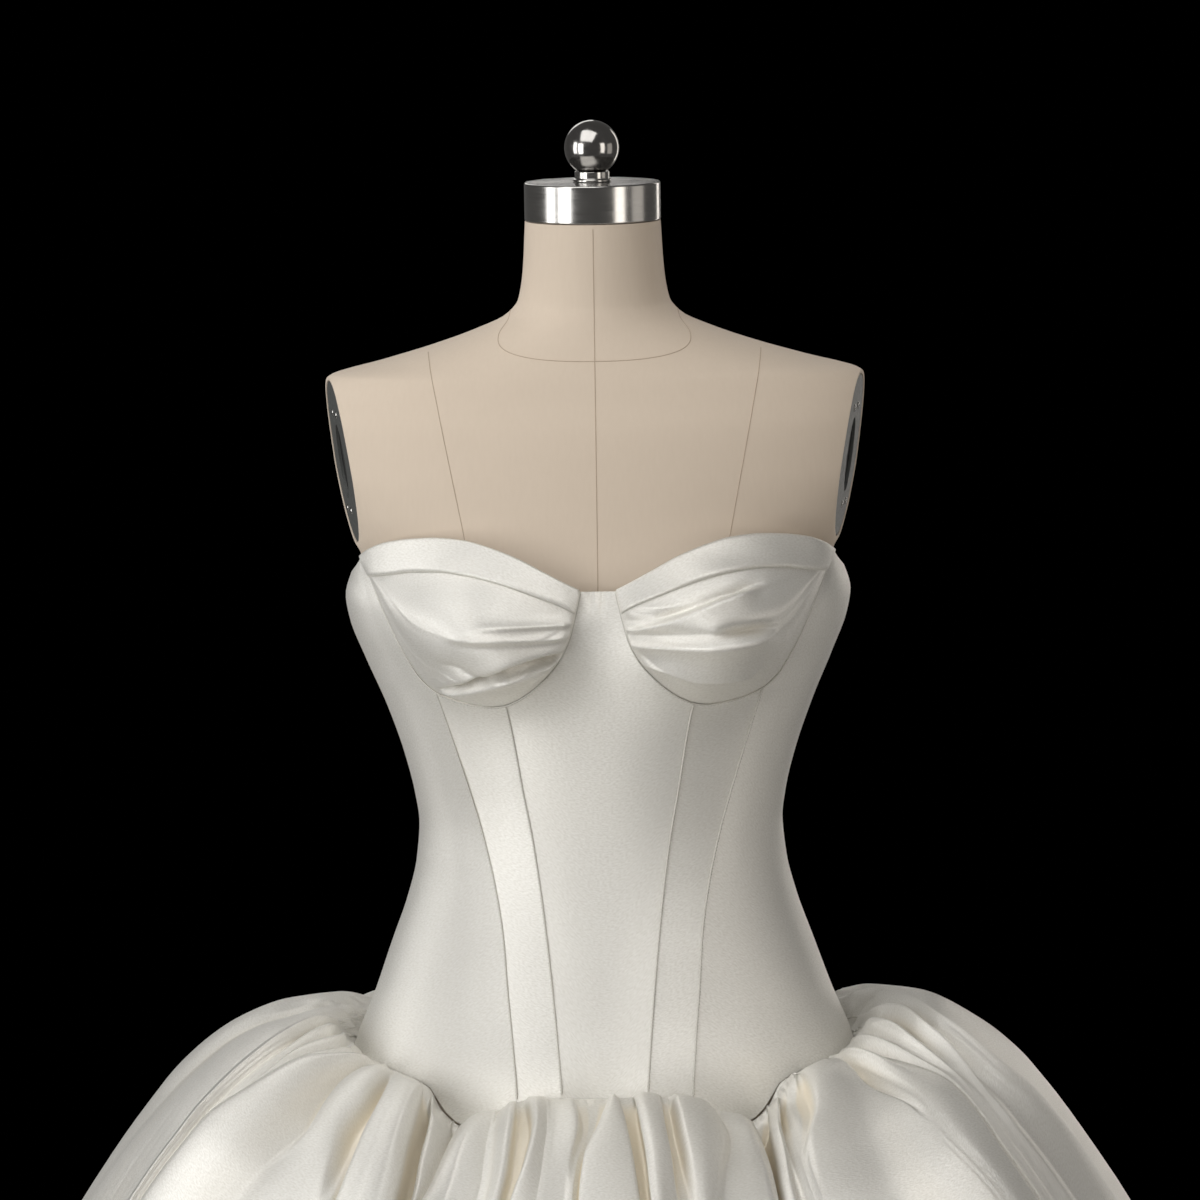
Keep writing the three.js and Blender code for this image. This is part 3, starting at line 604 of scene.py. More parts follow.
def princessEdge(seam):
    return lambda z: bodice["angleOf"](seam(z), z)


def backEdge(seam):
    return lambda z: backSeams[seam] + 0 * z


def sidedEdges(side, near, far):
    return (near, far) if side > 0 else (lambda z: -far(z), lambda z: -near(z))


# Heights that every column of a panel keeps, and those where its angle at the seams is read
panelLevels = {
    "hip": 930, "waist": 1056, "gore": 1200, "arm": 1189, "frontSeam": 851.0, "sideSeam": 889.0,
    "cupSeam": 1163.0,
}
bodicePieces = {}


def makeBodice():
    levels = panelLevels
    lower = [levels["hip"], levels["waist"]]
    topLevel = neckline["z"][0]

    def frontLevels(angle):
        return [waistSeamAt(angle(levels["frontSeam"])), *lower, cup["goreCorner"], levels["gore"], topLevel]

    def frontSideLevels(angle):
        topX = np.abs(bodice["point"](angle(levels["cupSeam"]), levels["cupSeam"])[0])
        return [waistSeamAt(angle(levels["frontSeam"])), *lower, cupLower(topX)]

    def sideLevels(angle):
        top = sideTop(np.abs(angle(topLevel)))
        return [waistSeamAt(angle(levels["sideSeam"])), *lower, cup["armCorner"], levels["arm"], top]

    def backLevels(angle):
        turn = np.abs(angle(levels["waist"]))
        return [waistSeamAt(turn), *lower, sideTop(turn)]

    node = "bodice_front"
    bodicePieces[node] = bodicePanel(
        node + "_cloth", lambda z: -frontEdge(z), frontEdge, frontLevels, goreRelief
    )
    panels = (
        ("bodice_front_side", princessEdge(innerSeam), princessEdge(outerSeam), frontSideLevels),
        ("bodice_side", sideEdgeAngle, backEdge("side"), sideLevels),
        ("bodice_back_side", backEdge("side"), backEdge("princess"), backLevels),
        ("bodice_back", backEdge("princess"), backEdge("centre"), backLevels),
    )
    for side, name in sides:
        for panel, near, far, panelStops in panels:
            node = f"{panel}_{name}"
            bodicePieces[node] = bodicePanel(node + "_cloth", *sidedEdges(side, near, far), panelStops)


makeBodice()
print("bodice panels ready")

# Cups: soft pleats drawn from the gore, each a line in front view with its height and how fast it falls away
cupCloth = {
    "wall": 1.3, "columns": 150, "rows": 92, "rowPower": 1.15, "seamGap": 0.15, "shortest": 8, "taper": 26,
    "tuckDepth": 0.7, "tuckWidth": 1.4, "pleatsAbove": (0.5, 9), "pleatsFrom": (-3, 4), "valley": 0.25,
    "valleyDepth": (1, 8),
}
pleatShape = {"power": 1.35, "start": (-4, 14), "startShare": 0.35, "fade": (-16, 2)}
cupPleats = {
    "right": (
        {"x": [15, 45, 75, 104], "z": [1217, 1216, 1215, 1213],
         "height": 3, "above": 4, "below": 1.5, "end": 96},
        {"x": [15, 45, 80, 112], "z": [1209, 1207.5, 1208, 1210],
         "height": 4.5, "above": 7, "below": 1.3, "end": 104},
        {"x": [18, 40, 60, 84, 112], "z": [1200, 1198, 1195, 1185, 1168],
         "height": 6.2, "above": 8, "below": 1.2, "end": 116},
        {"x": [24, 50, 75, 98, 116], "z": [1191, 1185.5, 1179, 1169, 1163],
         "height": 5.8, "above": 1.3, "below": 8, "end": 122},
        {"x": [24, 50, 75, 98, 116], "z": [1196, 1191.5, 1185, 1174, 1166],
         "height": -10.6, "above": 3.2, "below": 4.2, "end": 112},
        {"x": [78, 90, 102, 112], "z": [1186, 1188, 1191, 1191.5],
         "height": -5.2, "above": 1.8, "below": 3.0, "end": 110},
    ),
    "left": (
        {"x": [16, 58, 81, 106], "z": [1211, 1219, 1227, 1235.5],
         "height": 5.2, "above": 1.4, "below": 7, "end": 110},
        {"x": [40, 62, 86, 110], "z": [1219, 1226, 1233, 1238],
         "height": -5, "above": 3.6, "below": 1.6, "end": 112},
        {"x": [18, 61, 93, 117], "z": [1203, 1203, 1204, 1208],
         "height": 5.2, "above": 2, "below": 5, "end": 121},
        {"x": [82, 95, 108, 121], "z": [1210, 1211.5, 1211.5, 1211],
         "height": -9, "above": 3.4, "below": 2.6, "end": 122},
        {"x": [24, 51, 71, 99, 112], "z": [1192, 1186, 1181, 1180, 1184],
         "height": 5.8, "above": 8, "below": 1.8, "end": 112},
    ),
}


# A ramp between two places given from a common zero
def rampFrom(x, zero, span):
    return ramp(x, zero + span[0], zero + span[1])


def pleatHeight(rows, x, z):
    height = np.zeros_like(x)
    least = pleatShape["startShare"]
    for row in rows:
        away = z - curveOf(row, "x", "z")(x)
        reach = np.where(away > 0, row["above"], row["below"])
        profile = np.exp(-((np.abs(away) / reach) ** pleatShape["power"]))
        start = rampFrom(x, row["x"][0], pleatShape["start"])
        fade = 1 - rampFrom(x, row["end"], pleatShape["fade"])
        height += row["height"] * profile * (least + (1 - least) * start) * fade
    return height


def cupPoint(side, name, x, z):
    low, high = cupLower(x), cupTop(x)
    share = np.clip((z - low) / np.maximum(cupCloth["shortest"], high - low), 0, 1)
    ends = ramp(np.minimum(x - cup["inner"], cup["outer"] - x), -cupCloth["taper"], cupCloth["taper"])
    bulge = cup["bulge"] * ends * (1 - (1 - share) ** 3)
    inside = ramp(z - low, *cupCloth["pleatsAbove"]) * rampFrom(x, cup["inner"], cupCloth["pleatsFrom"])
    pleats = pleatHeight(cupPleats[name], x, z) * inside
    tuckIn = -cupCloth["tuckDepth"] * np.exp(-(((z - low) / cupCloth["tuckWidth"]) ** 2))
    return bodice["point"](side * bodice["angleOf"](x, z), z, bulge + pleats + tuckIn)


def makeCup(side, name):
    gap = cupCloth["seamGap"]
    shares = 0.5 - 0.5 * np.cos(np.linspace(0, math.pi, cupCloth["columns"] + 1))
    xs = (cup["inner"] + gap + (cup["outer"] - cup["inner"] - 2 * gap) * shares)[::side]
    x, share = np.meshgrid(xs, np.linspace(0, 1, cupCloth["rows"] + 1) ** cupCloth["rowPower"])
    z = cupLower(x) + (cupTop(x) - cupLower(x)) * share
    # Painted shade where the pleats sink into the cup, growing with the pleat's depth
    valley = cupCloth["valley"] * ramp(-pleatHeight(cupPleats[name], x, z), *cupCloth["valleyDepth"])
    piece = gridObject(f"cup_{name}_cloth", cupPoint(side, name, x, z), satinBias, valley)
    return thicken(piece, cupCloth["wall"])


# The folded band along the top of each cup: doubled cloth, round at its fold
bandCloth = {
    "wall": 1.3, "columns": 90, "rows": 22, "thick": 2.2, "lift": 0.5, "endGap": 1.2, "overSeam": 1.5,
    "overCup": 0.6, "taper": (0, 14), "endShare": 0.45, "foldRound": 3.0, "topRound": 2.0, "topShare": 0.4,
    "ripple": 0.35, "rippleLength": 9.0, "rippleLean": 3,
}


def roundedOff(distance, radius):
    return np.sqrt(np.clip(1 - (1 - np.clip(distance / radius, 0, 1)) ** 2, 0, 1))


def makeBand(side, name):
    band = bandCloth
    xs = np.linspace(cup["inner"] + band["endGap"], cup["outer"] - band["endGap"], band["columns"] + 1)
    x, share = np.meshgrid(xs[::side], np.linspace(0, 1, band["rows"] + 1))
    low = np.maximum(bandLower(x), cupLower(x) + band["overSeam"])
    high = cupTop(x) + band["overCup"]
    z = low + (high - low) * share
    ends = ramp(np.minimum(x - cup["inner"], cup["outer"] - x), *band["taper"])
    puff = band["thick"] * (band["endShare"] + (1 - band["endShare"]) * ends)
    topFold = band["topShare"] + (1 - band["topShare"]) * roundedOff(high - z, band["topRound"])
    ripple = band["ripple"] * np.sin(x / band["rippleLength"] + share * band["rippleLean"])
    ripple = ripple * share * (1 - share) * 4
    out = band["lift"] + puff * roundedOff(z - low, band["foldRound"]) * topFold + ripple
    flat = bodice["normal"](side * bodice["angleOf"](x, z), z)
    points = cupPoint(side, name, x, z) + flat * out[..., None]
    return thicken(gridObject(f"neckline_band_{name}_cloth", points, satin), band["wall"])


cupPieces = {}
for side, name in sides:
    cupPieces[f"cup_{name}"] = makeCup(side, name)
    cupPieces[f"neckline_band_{name}"] = makeBand(side, name)
print("cups and bands ready")

# The skirt: a bell whose cloth leaves the waist seam, rolls over and falls in uneven folds
skirtShape = {
    "step": [0, 1, 2, 3, 4, 5, 6, 7, 8, 9, 10],
    "frontOut": [0, 7, 18, 38, 66, 93, 119, 182, 303, 399, 517],
    "frontUp": [0.3, 1.0, 0.6, -6, -22.5, -44.3, -70.3, -143, -332, -530, -879],
    "sideOut": [0, 12, 29, 55, 89, 116, 140, 194, 306, 400, 517],
    "sideUp": [0.3, 9.5, 17, 13.5, -4, -25, -52, -128, -328, -528, -879],
    "fold": [0, 0.45, 0.8, 1, 1, 1, 0.98, 0.9, 0.75, 0.68, 0.6],
}
skirtCloth = {
    "wall": 1.2, "hemRadius": 700, "seamGap": 0.4, "frontPuff": 2, "sidePuff": 10, "sideTurn": (54, 82),
    "frontColumn": 0.3, "backColumn": 0.55, "edgeRows": [0, 0.02, 0.05], "probe": 0.2,
    "rowSpans": ((0.1, 2, 23), (2, 6, 45), (6, 10, 20)), "valleyColumns": 12, "valleyDepth": (3, 16),
}
# How far the cloth falls or lifts beside and behind the bodice: millimetres, degrees and profile steps
skirtFall = {
    "forward": 20, "forwardTo": 120, "forwardSteps": (0, 6),
    "sideDrop": 10, "sideTurn": (104, 122), "backDrop": 13, "backTurn": (124, 150), "dropSteps": (0, 1.5),
    "dropFade": (4, 8),
    "lift": 9, "liftTurn": (94, 118), "liftEnd": (124, 156), "liftSteps": (0, 0.8), "liftFade": (1.0, 3.0),
}
# Small random gathers along the waist seam and slow flutes towards the hem
skirtGathers = {
    "seed": 7, "count": 190, "stray": 0.35, "depth": (-2.4, 3.2), "width": (0.35, 0.8), "reach": (0.9, 3.2),
    "drift": 0.5, "power": 1.4, "steps": (0.05, 0.6), "fadeFrom": 0.3,
}
hemFlutes = {"counts": (7, 11, 17), "sizes": (5.0, 4.0, 2.5), "turn": 6.28, "steps": (4, 9)}
# How a fold's edge is rounded, widens downwards, fades, and how it grows from the seam
foldShape = {
    "scale": 1.3, "columns": 6, "fewest": 3, "fadeOver": 2.4, "widen": 0.8, "widenSteps": (3, 10),
    "halfShare": 0.7, "gapShare": 0.3, "endGap": 9.0, "riseSteps": (0, 2.2), "sinkSteps": (0.3, 2.4),
    "underLap": 0.5, "swellPower": 0.8, "swellSteps": (0, 2),
}
# The lines where a fold's edge stands or sinks, in order round the waist: degrees at the seam and at six
# levels down to the hem, the cloth's height left and right of the line in millimetres, the line's half width
# and overlap in degrees, how much the cloth after it swells, and the profile step where it has faded
foldLevels = [0, 2, 3.2, 4.2, 5.2, 6.5, 10]
edgeColumns = ("path", "left", "right", "width", "lap", "swell", "reach")
skirtEdges = (
    ((-180, -180, -180, -180, -180, -180, -180), -14, -14, 0.8, 0, 2, 12),
    ((-171, -170, -170, -169, -169, -169, -168), 6, -6, 1.2, 0.7, 1, 9),
    ((-162, -161, -161, -160, -160, -160, -159), -8, 5, 1.2, 0.8, 2, 12),
    ((-152, -151, -151, -151, -150, -150, -150), 4, -7, 1.2, 0.6, 1, 8),
    ((-142, -142, -142, -142, -142, -143, -143), -9, 5, 1.2, 0.8, 3, 12),
    ((-129, -129, -129, -129, -129, -129, -129), -15, -15, 0.8, 0, 2, 12),
    ((-127.4, -119, -117, -117, -117, -116, -116), -4, 4, 1.5, 0.5, 2, 11),
    ((-125.6, -104, -99, -99, -100, -102, -106), 0, -4, 3.0, 0, 7, 8),
    ((-122, -82.5, -77.8, -78.8, -79.8, -80.4, -86), -8, 6, 1.0, 1.2, 1, 10),
    ((-112, -77, -75.6, -77.2, -79, -79.8, -85.2), -6, 5, 0.8, 0.4, 1, 3.8),
    ((-100, -71.6, -73.6, -75.8, -78.3, -79.2, -84.4), -8, 5, 0.8, 0.5, 1, 4.2),
    ((-82, -67.8, -71.6, -74.6, -77.6, -78.6, -83.6), -6, 4, 0.8, 0.4, 1, 4.2),
    ((-61, -64.2, -69.8, -73.4, -76.9, -78, -82.8), -8, 5, 0.9, 1.0, 2, 10),
    ((-58.4, -60.4, -61.7, -62, -64, -66, -69), -7, 2, 1.6, 0.4, 3, 5.8),
    ((-55, -53.8, -53.6, -55.2, -55, -55.6, -58), 3, -7, 1.2, 0, 0, 6.4),
    ((-52.4, -50.6, -49.7, -50.4, -51.3, -52, -53.6), -8, 4, 1.0, 0.5, 1.5, 8),
    ((-45, -42, -41.3, -41.2, -41.3, -42.4, -43.4), 5, -10, 0.5, 0.6, 0, 9),
    ((-41, -39.2, -38.6, -38.6, -39, -40.6, -41.6), -11, -1, 0.6, 0.4, 1.5, 9),
    ((-35, -34, -34.2, -35.4, -37.6, -39, -40), -4, -19, 0.8, 0.5, 0, 11),
    ((-32, -30.9, -32.2, -33.9, -36.2, -37.4, -38.2), -22, 6, 0.8, 1.2, 3, 12),
    ((-24, -23.6, -24.4, -25, -26.6, -27.4, -28), 4, 1, 0.9, 0.3, 1, 3.6),
    ((-19.8, -19.4, -19.8, -20.6, -22.6, -24, -25), 5, -6, 0.8, 0.5, 0, 7),
    ((-17, -16.4, -15.8, -17.6, -20.6, -22, -23), -6, 4, 1.4, 0, 1.5, 7),
    ((-12.6, -12.2, -12, -13, -14.4, -15, -15), 3, 0, 0.8, 0.3, 1.5, 3.2),
    ((-6.8, -6.4, -5.6, -7.4, -8.6, -9, -9), 3, -5, 1.1, 0.3, 0, 5),
    ((1.2, 1, -0.9, -4.6, -5.8, -6, -6), -5, 5, 0.7, 0.5, 1.5, 11),
    ((2.8, 2.9, 4.4, 6, 7.4, 8.6, 10), 5, -9, 0.9, 0.3, 0, 8),
    ((7, 7, 7.9, 9.2, 10.2, 11.4, 13), -10, 6, 0.6, 0.9, 1.5, 10),
    ((12, 12, 12.6, 14, 15.4, 17, 18), 5, -6, 1.0, 0.3, 0, 6.2),
    ((14.8, 14.8, 15.6, 17, 18.6, 20, 21), -6, 4, 1.3, 0, 2, 6.2),
    ((22.6, 23.4, 25.4, 23.8, 23, 24, 25), 4, 0, 1.4, 0, 2, 6),
    ((31.2, 31, 31.8, 32.7, 33.4, 34.6, 36), 6, -19, 0.7, 1.2, 0, 12),
    ((33.6, 33.2, 33.7, 34.1, 34.7, 36, 37.4), -21, -18, 0.6, 0.3, 0, 12),
    ((38, 36.6, 35.8, 35.6, 36.1, 37.6, 39), -18, 5, 0.7, 0.8, 0.5, 11),
    ((41, 39, 37.6, 38.2, 39.2, 40.6, 42), 5, -7, 0.7, 0.2, -2, 4.6),
    ((47, 47.3, 46, 40.8, 41.6, 43, 44.4), -8, 6, 0.6, 0.5, 4, 4.7),
    ((57, 58.2, 58.6, 62.2, 64, 66, 68), 5, -10, 0.6, 0.6, 0, 4.8),
    ((60.2, 61.6, 63.8, 64.6, 66.2, 68, 70), -2, 5, 0.9, 0.2, 3, 4.7),
    ((62.4, 64.2, 67.9, 71.4, 72.6, 72.8, 76), 0, -9, 0.8, 1.0, 0, 10),
    ((78, 69, 70.6, 72.8, 73.8, 74.2, 77.6), 5, -6, 0.8, 0.4, 1, 4.2),
    ((97, 75.4, 73.4, 74.6, 75.4, 76, 79.4), 6, -7, 0.8, 0.5, 1, 4.6),
    ((111, 84.6, 77.4, 77.6, 79, 80.4, 84), 8, -7, 1.0, 0.6, 2, 5),
    ((124, 103, 86.4, 85.8, 89.4, 92, 96), 6, -6, 1.4, 0.8, 3, 8),
    ((128, 118, 116, 116, 117, 119, 121), 4, -4, 1.6, 0.4, 1, 11),
    ((132, 132, 132, 132, 132, 132, 132), -14, -14, 0.8, 0, 2, 12),
    ((141, 142, 142, 142, 142, 143, 144), -6, 5, 1.2, 0.6, 2, 7),
    ((150, 150, 150, 151, 151, 151, 152), 5, -8, 1.2, 0.8, 1, 12),
    ((161, 160, 160, 161, 161, 162, 163), -8, 4, 1.2, 0.6, 2, 7),
    ((169, 168, 168, 168, 168, 168, 168), 5, -7, 1.2, 0.8, 1, 12),
    ((180, 180, 180, 180, 180, 180, 180), -14, -14, 0.8, 0, 2, 12),
)
skirtPanels = {  # each panel's first and last fold line
    "skirt_back_right": (0, 5), "skirt_side_right": (5, 19), "skirt_front": (19, 32),
    "skirt_side_left": (32, 44), "skirt_back_left": (44, 49),
}
# Broad swells between the folds: degrees, half width, height and the profile steps they grow and fade over
softSwells = (
    {"angle": 65, "width": 8, "height": 12, "grow": (3.0, 4.4), "fade": (6.5, 9)},
    {"angle": -101, "width": 8, "height": 8, "grow": (2.6, 4.0), "fade": (6.5, 9)},
)
stepCurves = {key: curveOf(skirtShape, "step", key) for key in skirtShape if key != "step"}
foldShare = stepCurves["fold"]
lastStep = skirtShape["step"][-1]


def byAngle(angle, front, side):
    return front + (side - front) * ramp(np.abs(angle), *skirtCloth["sideTurn"])


def skirtBase(angle, step):
    fall, turn = skirtFall, np.abs(angle)
    seam = bodice["point"](angle, waistSeamAt(angle))
    seamRadius = np.hypot(seam[..., 0], seam[..., 1]) + skirtCloth["seamGap"]
    out = byAngle(angle, stepCurves["frontOut"](step), stepCurves["sideOut"](step))
    up = byAngle(angle, stepCurves["frontUp"](step), stepCurves["sideUp"](step))
    drop = fall["sideDrop"] * ramp(turn, *fall["sideTurn"])
    drop = drop + fall["backDrop"] * ramp(turn, *fall["backTurn"])
    up = up - drop * ramp(step, *fall["dropSteps"]) * (1 - ramp(step, *fall["dropFade"]))
    rise = ramp(step, *fall["liftSteps"]) - ramp(step, *fall["liftFade"])
    up = up + fall["lift"] * ramp(turn, *fall["liftTurn"]) * (1 - ramp(turn, *fall["liftEnd"])) * rise
    farthest = skirtShape["sideOut"][-1]
    reach = out / farthest
    radius = seamRadius + out + (skirtCloth["hemRadius"] - seamRadius - farthest) * reach
    height = waistLine["side"] + up - (waistLine["side"] - seam[..., 2]) * (1 - reach)
    return seam, radius, height


def turnBetween(angle, path):
    return (angle - path + 180) % 360 - 180


# What the cloth stands out between the folds: its fullness, the swells, the gathers and the flutes
def skirtDetail(angle, step):
    push = byAngle(angle, skirtCloth["frontPuff"], skirtCloth["sidePuff"]) * foldShare(step)
    for swell in softSwells:
        away = turnBetween(angle, swell["angle"]) / swell["width"]
        strength = ramp(step, *swell["grow"])
        push = push + swell["height"] * np.exp(-(away**2)) * strength * (1 - ramp(step, *swell["fade"]))
    small = skirtGathers
    draws = np.random.default_rng(small["seed"])
    for k in range(small["count"]):
        path = -180 + 360 * (k + draws.uniform(-small["stray"], small["stray"])) / small["count"]
        depth, width, reach = [draws.uniform(*small[key]) for key in ("depth", "width", "reach")]
        drift = draws.uniform(-small["drift"], small["drift"])
        away = turnBetween(angle, path + drift * step)
        strength = ramp(step, *small["steps"]) * (1 - ramp(step, small["fadeFrom"] * reach, reach))
        push = push - depth * strength * np.exp(-((np.abs(away) / width) ** small["power"]))
    for count, size in zip(hemFlutes["counts"], hemFlutes["sizes"]):
        wave = np.cos(np.radians(angle) * count + draws.uniform(0, hemFlutes["turn"]))
        push = push + size * wave * ramp(step, *hemFlutes["steps"])
    return push


# The panels' columns follow the fold lines, so an edge stays sharp all the way down
def skirtColumns(down):
    fold = foldShape
    edges = [dict(zip(edgeColumns, row)) for row in skirtEdges]
    paths = [curveOf({"step": foldLevels, "angle": e["path"]}, "step", "angle")(down) for e in edges]
    endGap = np.full_like(down, fold["endGap"])
    gaps = [endGap] + [b - a for a, b in zip(paths, paths[1:])] + [endGap]
    widen = 1 + fold["widen"] * ramp(down, *fold["widenSteps"])
    swellGrow = ramp(down, *fold["swellSteps"])
    for i, edge in enumerate(edges):
        edge["upperSide"] = edge["right"] > edge["left"]
        edge["strength"] = 1 - ramp(down, edge["reach"] - fold["fadeOver"], edge["reach"])
        room = fold["gapShare"] * np.minimum(gaps[i], gaps[i + 1])
        edge["half"] = np.minimum(fold["halfShare"] * edge["width"] * widen, room)
        for side in ("left", "right"):
            grow = ramp(down, *fold["riseSteps" if edge[side] > 0 else "sinkSteps"])
            edge[side] = edge[side] * fold["scale"] * grow * edge["strength"]
    angles, pushes, starts = [], [], []
    for i, edge in enumerate(edges):
        starts.append(len(angles))
        inside = 0 < i < len(edges) - 1
        for u in np.linspace(0, 1, fold["columns"] + 1):
            lap = edge["lap"] * (1.0 if (u > 0.5) == edge["upperSide"] else fold["underLap"])
            over = lap * edge["strength"] * math.sin(2 * math.pi * u)
            angles.append(paths[i] + (edge["half"] * (2 * u - 1) + over) * inside)
            pushes.append(edge["left"] + (edge["right"] - edge["left"]) * float(ramp(u, 0, 1)))
            if not inside:
                break
        if i + 1 == len(edges):
            break
        after = edges[i + 1]
        pitch = byAngle(edge["path"][1], skirtCloth["frontColumn"], skirtCloth["backColumn"])
        count = max(fold["fewest"], int(np.max(gaps[i + 1]) / pitch))
        first, last = angles[-1], paths[i + 1] - after["half"] * (i + 2 < len(edges))
        for t in np.arange(1, count) / count:
            angles.append(first + (last - first) * t)
            level = edge["right"] + (after["left"] - edge["right"]) * float(ramp(t, 0, 1))
            swell = edge["swell"] * (4 * t * (1 - t)) ** fold["swellPower"]
            pushes.append(level + swell * edge["strength"] * swellGrow)
    return np.stack(angles, 1), np.stack(pushes, 1), starts


def skirtPoint(angle, step, push):
    seam, radius, height = skirtBase(angle, step)
    before = skirtBase(angle, np.maximum(0, step - skirtCloth["probe"]))
    after = skirtBase(angle, np.minimum(lastStep, step + skirtCloth["probe"]))
    run, rise = after[1] - before[1], after[2] - before[2]
    length = np.hypot(run, rise)
    radius = radius - rise / length * push
    height = height + run / length * push
    polar = np.degrees(np.arctan2(seam[..., 0], -seam[..., 1]))
    turn, end = np.abs(polar), skirtFall["forwardTo"]
    swing = np.where(turn < end, skirtFall["forward"] * np.sin(np.pi * turn / end), 0)
    way = np.radians(polar - np.sign(polar) * swing * ramp(step, *skirtFall["forwardSteps"]))
    return np.stack([radius * np.sin(way), -radius * np.cos(way), height], -1)


def makeSkirt():
    spans = [np.linspace(a, b, n + 1)[:-1] for a, b, n in skirtCloth["rowSpans"]]
    down = np.concatenate([skirtCloth["edgeRows"], *spans, [lastStep]])
    angle, push, starts = skirtColumns(down)
    step = np.broadcast_to(down[:, None], angle.shape)
    heights = push * foldShare(step) + skirtDetail(angle, step)
    points = skirtPoint(angle, step, heights)
    # Painted shade in the fold valleys: how far each point lies below the highest cloth a few columns away
    near = skirtCloth["valleyColumns"]
    around = np.max([np.roll(heights, k, 1) for k in range(-near, near + 1)], axis=0)
    valley = ramp(around - heights, *skirtCloth["valleyDepth"])
    pieces = {}
    for node, (first, last) in skirtPanels.items():
        span = slice(starts[first], starts[last] + 1)
        panel = gridObject(node + "_cloth", points[::-1, span], satin, valley[::-1, span])
        pieces[node] = thicken(panel, skirtCloth["wall"])
    return pieces


skirtPieces = makeSkirt()
print("skirt ready")


# Node trees: cords along seams, stitches and screws on points
class NodeTree:
    def __init__(self, name, inputs):
        self.tree = bpy.data.node_groups.new(name, "GeometryNodeTree")
        face = self.tree.interface
        face.new_socket("Geometry", in_out="INPUT", socket_type="NodeSocketGeometry")
        for label, kind in inputs:
            face.new_socket(label, in_out="INPUT", socket_type="NodeSocket" + kind)
        face.new_socket("Geometry", in_out="OUTPUT", socket_type="NodeSocketGeometry")
        self.start = self.tree.nodes.new("NodeGroupInput")
        self.end = self.tree.nodes.new("NodeGroupOutput")

    def add(self, kind, inputs=None, **settings):
        return addNode(self.tree, kind, inputs, settings)

    def value(self, label):
        return self.start.outputs[label]

    # A turn from two directions that are stored on the points
    def turned(self, axes):
        inputs = {}
        for socket, label in zip(("Primary Axis", "Secondary Axis"), axes.values()):
            stored = self.add("GeometryNodeInputNamedAttribute", {"Name": label}, data_type="FLOAT_VECTOR")
            inputs[socket] = stored.outputs[0]
        first, second = axes
        node = self.add("FunctionNodeAxesToRotation", inputs, primary_axis=first, secondary_axis=second)
        return node.outputs[0]

    def finish(self, geometry):
        real = self.add("GeometryNodeRealizeInstances", {"Geometry": geometry})
        soft = self.add("GeometryNodeSetShadeSmooth", {"Geometry": real.outputs[0]})
        inputs = {"Geometry": soft.outputs[0], "Material": self.value("Material")}
        done = self.add("GeometryNodeSetMaterial", inputs)
        self.tree.links.new(done.outputs[0], self.end.inputs[0])
        return self.tree


def cordTree():
    net = NodeTree("seam cord", (("Cord Radius", "Float"), ("Sides", "Int"), ("Material", "Material")))
    line = net.add("GeometryNodeMeshToCurve", {"Mesh": net.value("Geometry")})
    inputs = {"Resolution": net.value("Sides"), "Radius": net.value("Cord Radius")}
    ring = net.add("GeometryNodeCurvePrimitiveCircle", inputs)
    inputs = {"Curve": line.outputs[0], "Profile Curve": ring.outputs[0], "Fill Caps": True}
    return net.finish(net.add("GeometryNodeCurveToMesh", inputs).outputs[0])


def stitchTree():
    inputs = (("Stitch Size", "Vector"), ("Unevenness", "Float"), ("Seed", "Int"), ("Material", "Material"))
    net = NodeTree("seam stitches", inputs)
    bead = net.add("GeometryNodeMeshIcoSphere", {"Radius": 1.0, "Subdivisions": 1})
    draw = net.add("FunctionNodeRandomValue", {"Seed": net.value("Seed")}, data_type="FLOAT")
    limits = [socket for socket in draw.inputs if socket.type == "VALUE"]
    for limit, operation in zip(limits, ("SUBTRACT", "ADD")):
        around = net.add("ShaderNodeMath", {0: 1.0, 1: net.value("Unevenness")}, operation=operation)
        net.tree.links.new(around.outputs[0], limit)
    amount = [socket for socket in draw.outputs if socket.type == "VALUE"][0]
    inputs = {0: net.value("Stitch Size"), "Scale": amount}
    size = net.add("ShaderNodeVectorMath", inputs, operation="SCALE")
    inputs = {"Points": net.value("Geometry"), "Instance": bead.outputs[0], "Scale": size.outputs[0]}
    inputs["Rotation"] = net.turned({"Z": "slant", "Y": "out"})
    return net.finish(net.add("GeometryNodeInstanceOnPoints", inputs).outputs[0])


def screwTree():
    net = NodeTree("screw heads", (("Screw", "Object"), ("Material", "Material")))
    head = net.add("GeometryNodeObjectInfo", {"Object": net.value("Screw")})
    inputs = {"Points": net.value("Geometry"), "Instance": head.outputs["Geometry"]}
    inputs["Rotation"] = net.turned({"Z": "out", "X": "slant"})
    return net.finish(net.add("GeometryNodeInstanceOnPoints", inputs).outputs[0])


# Runs a node tree on a start mesh and keeps the result as a plain mesh
def grown(name, mesh, tree, values):
    piece = addObject(name, mesh)
    maker = piece.modifiers.new("maker", "NODES")
    maker.node_group = tree
    for item in tree.interface.items_tree:
        if item.in_out == "INPUT" and item.name in values:
            maker[item.identifier] = values[item.name]
    result = bpy.data.meshes.new_from_object(piece.evaluated_get(bpy.context.evaluated_depsgraph_get()))
    piece.modifiers.remove(maker)
    piece.data = result
    result.name = name
    return piece


def lineMesh(name, lines):
    points = np.concatenate(lines) * mm
    edges = []
    start = 0
    for line in lines:
        edges += [(start + k, start + k + 1) for k in range(len(line) - 1)]
        start += len(line)
    mesh = bpy.data.meshes.new(name)
    mesh.from_pydata(points.tolist(), edges, [])
    return mesh


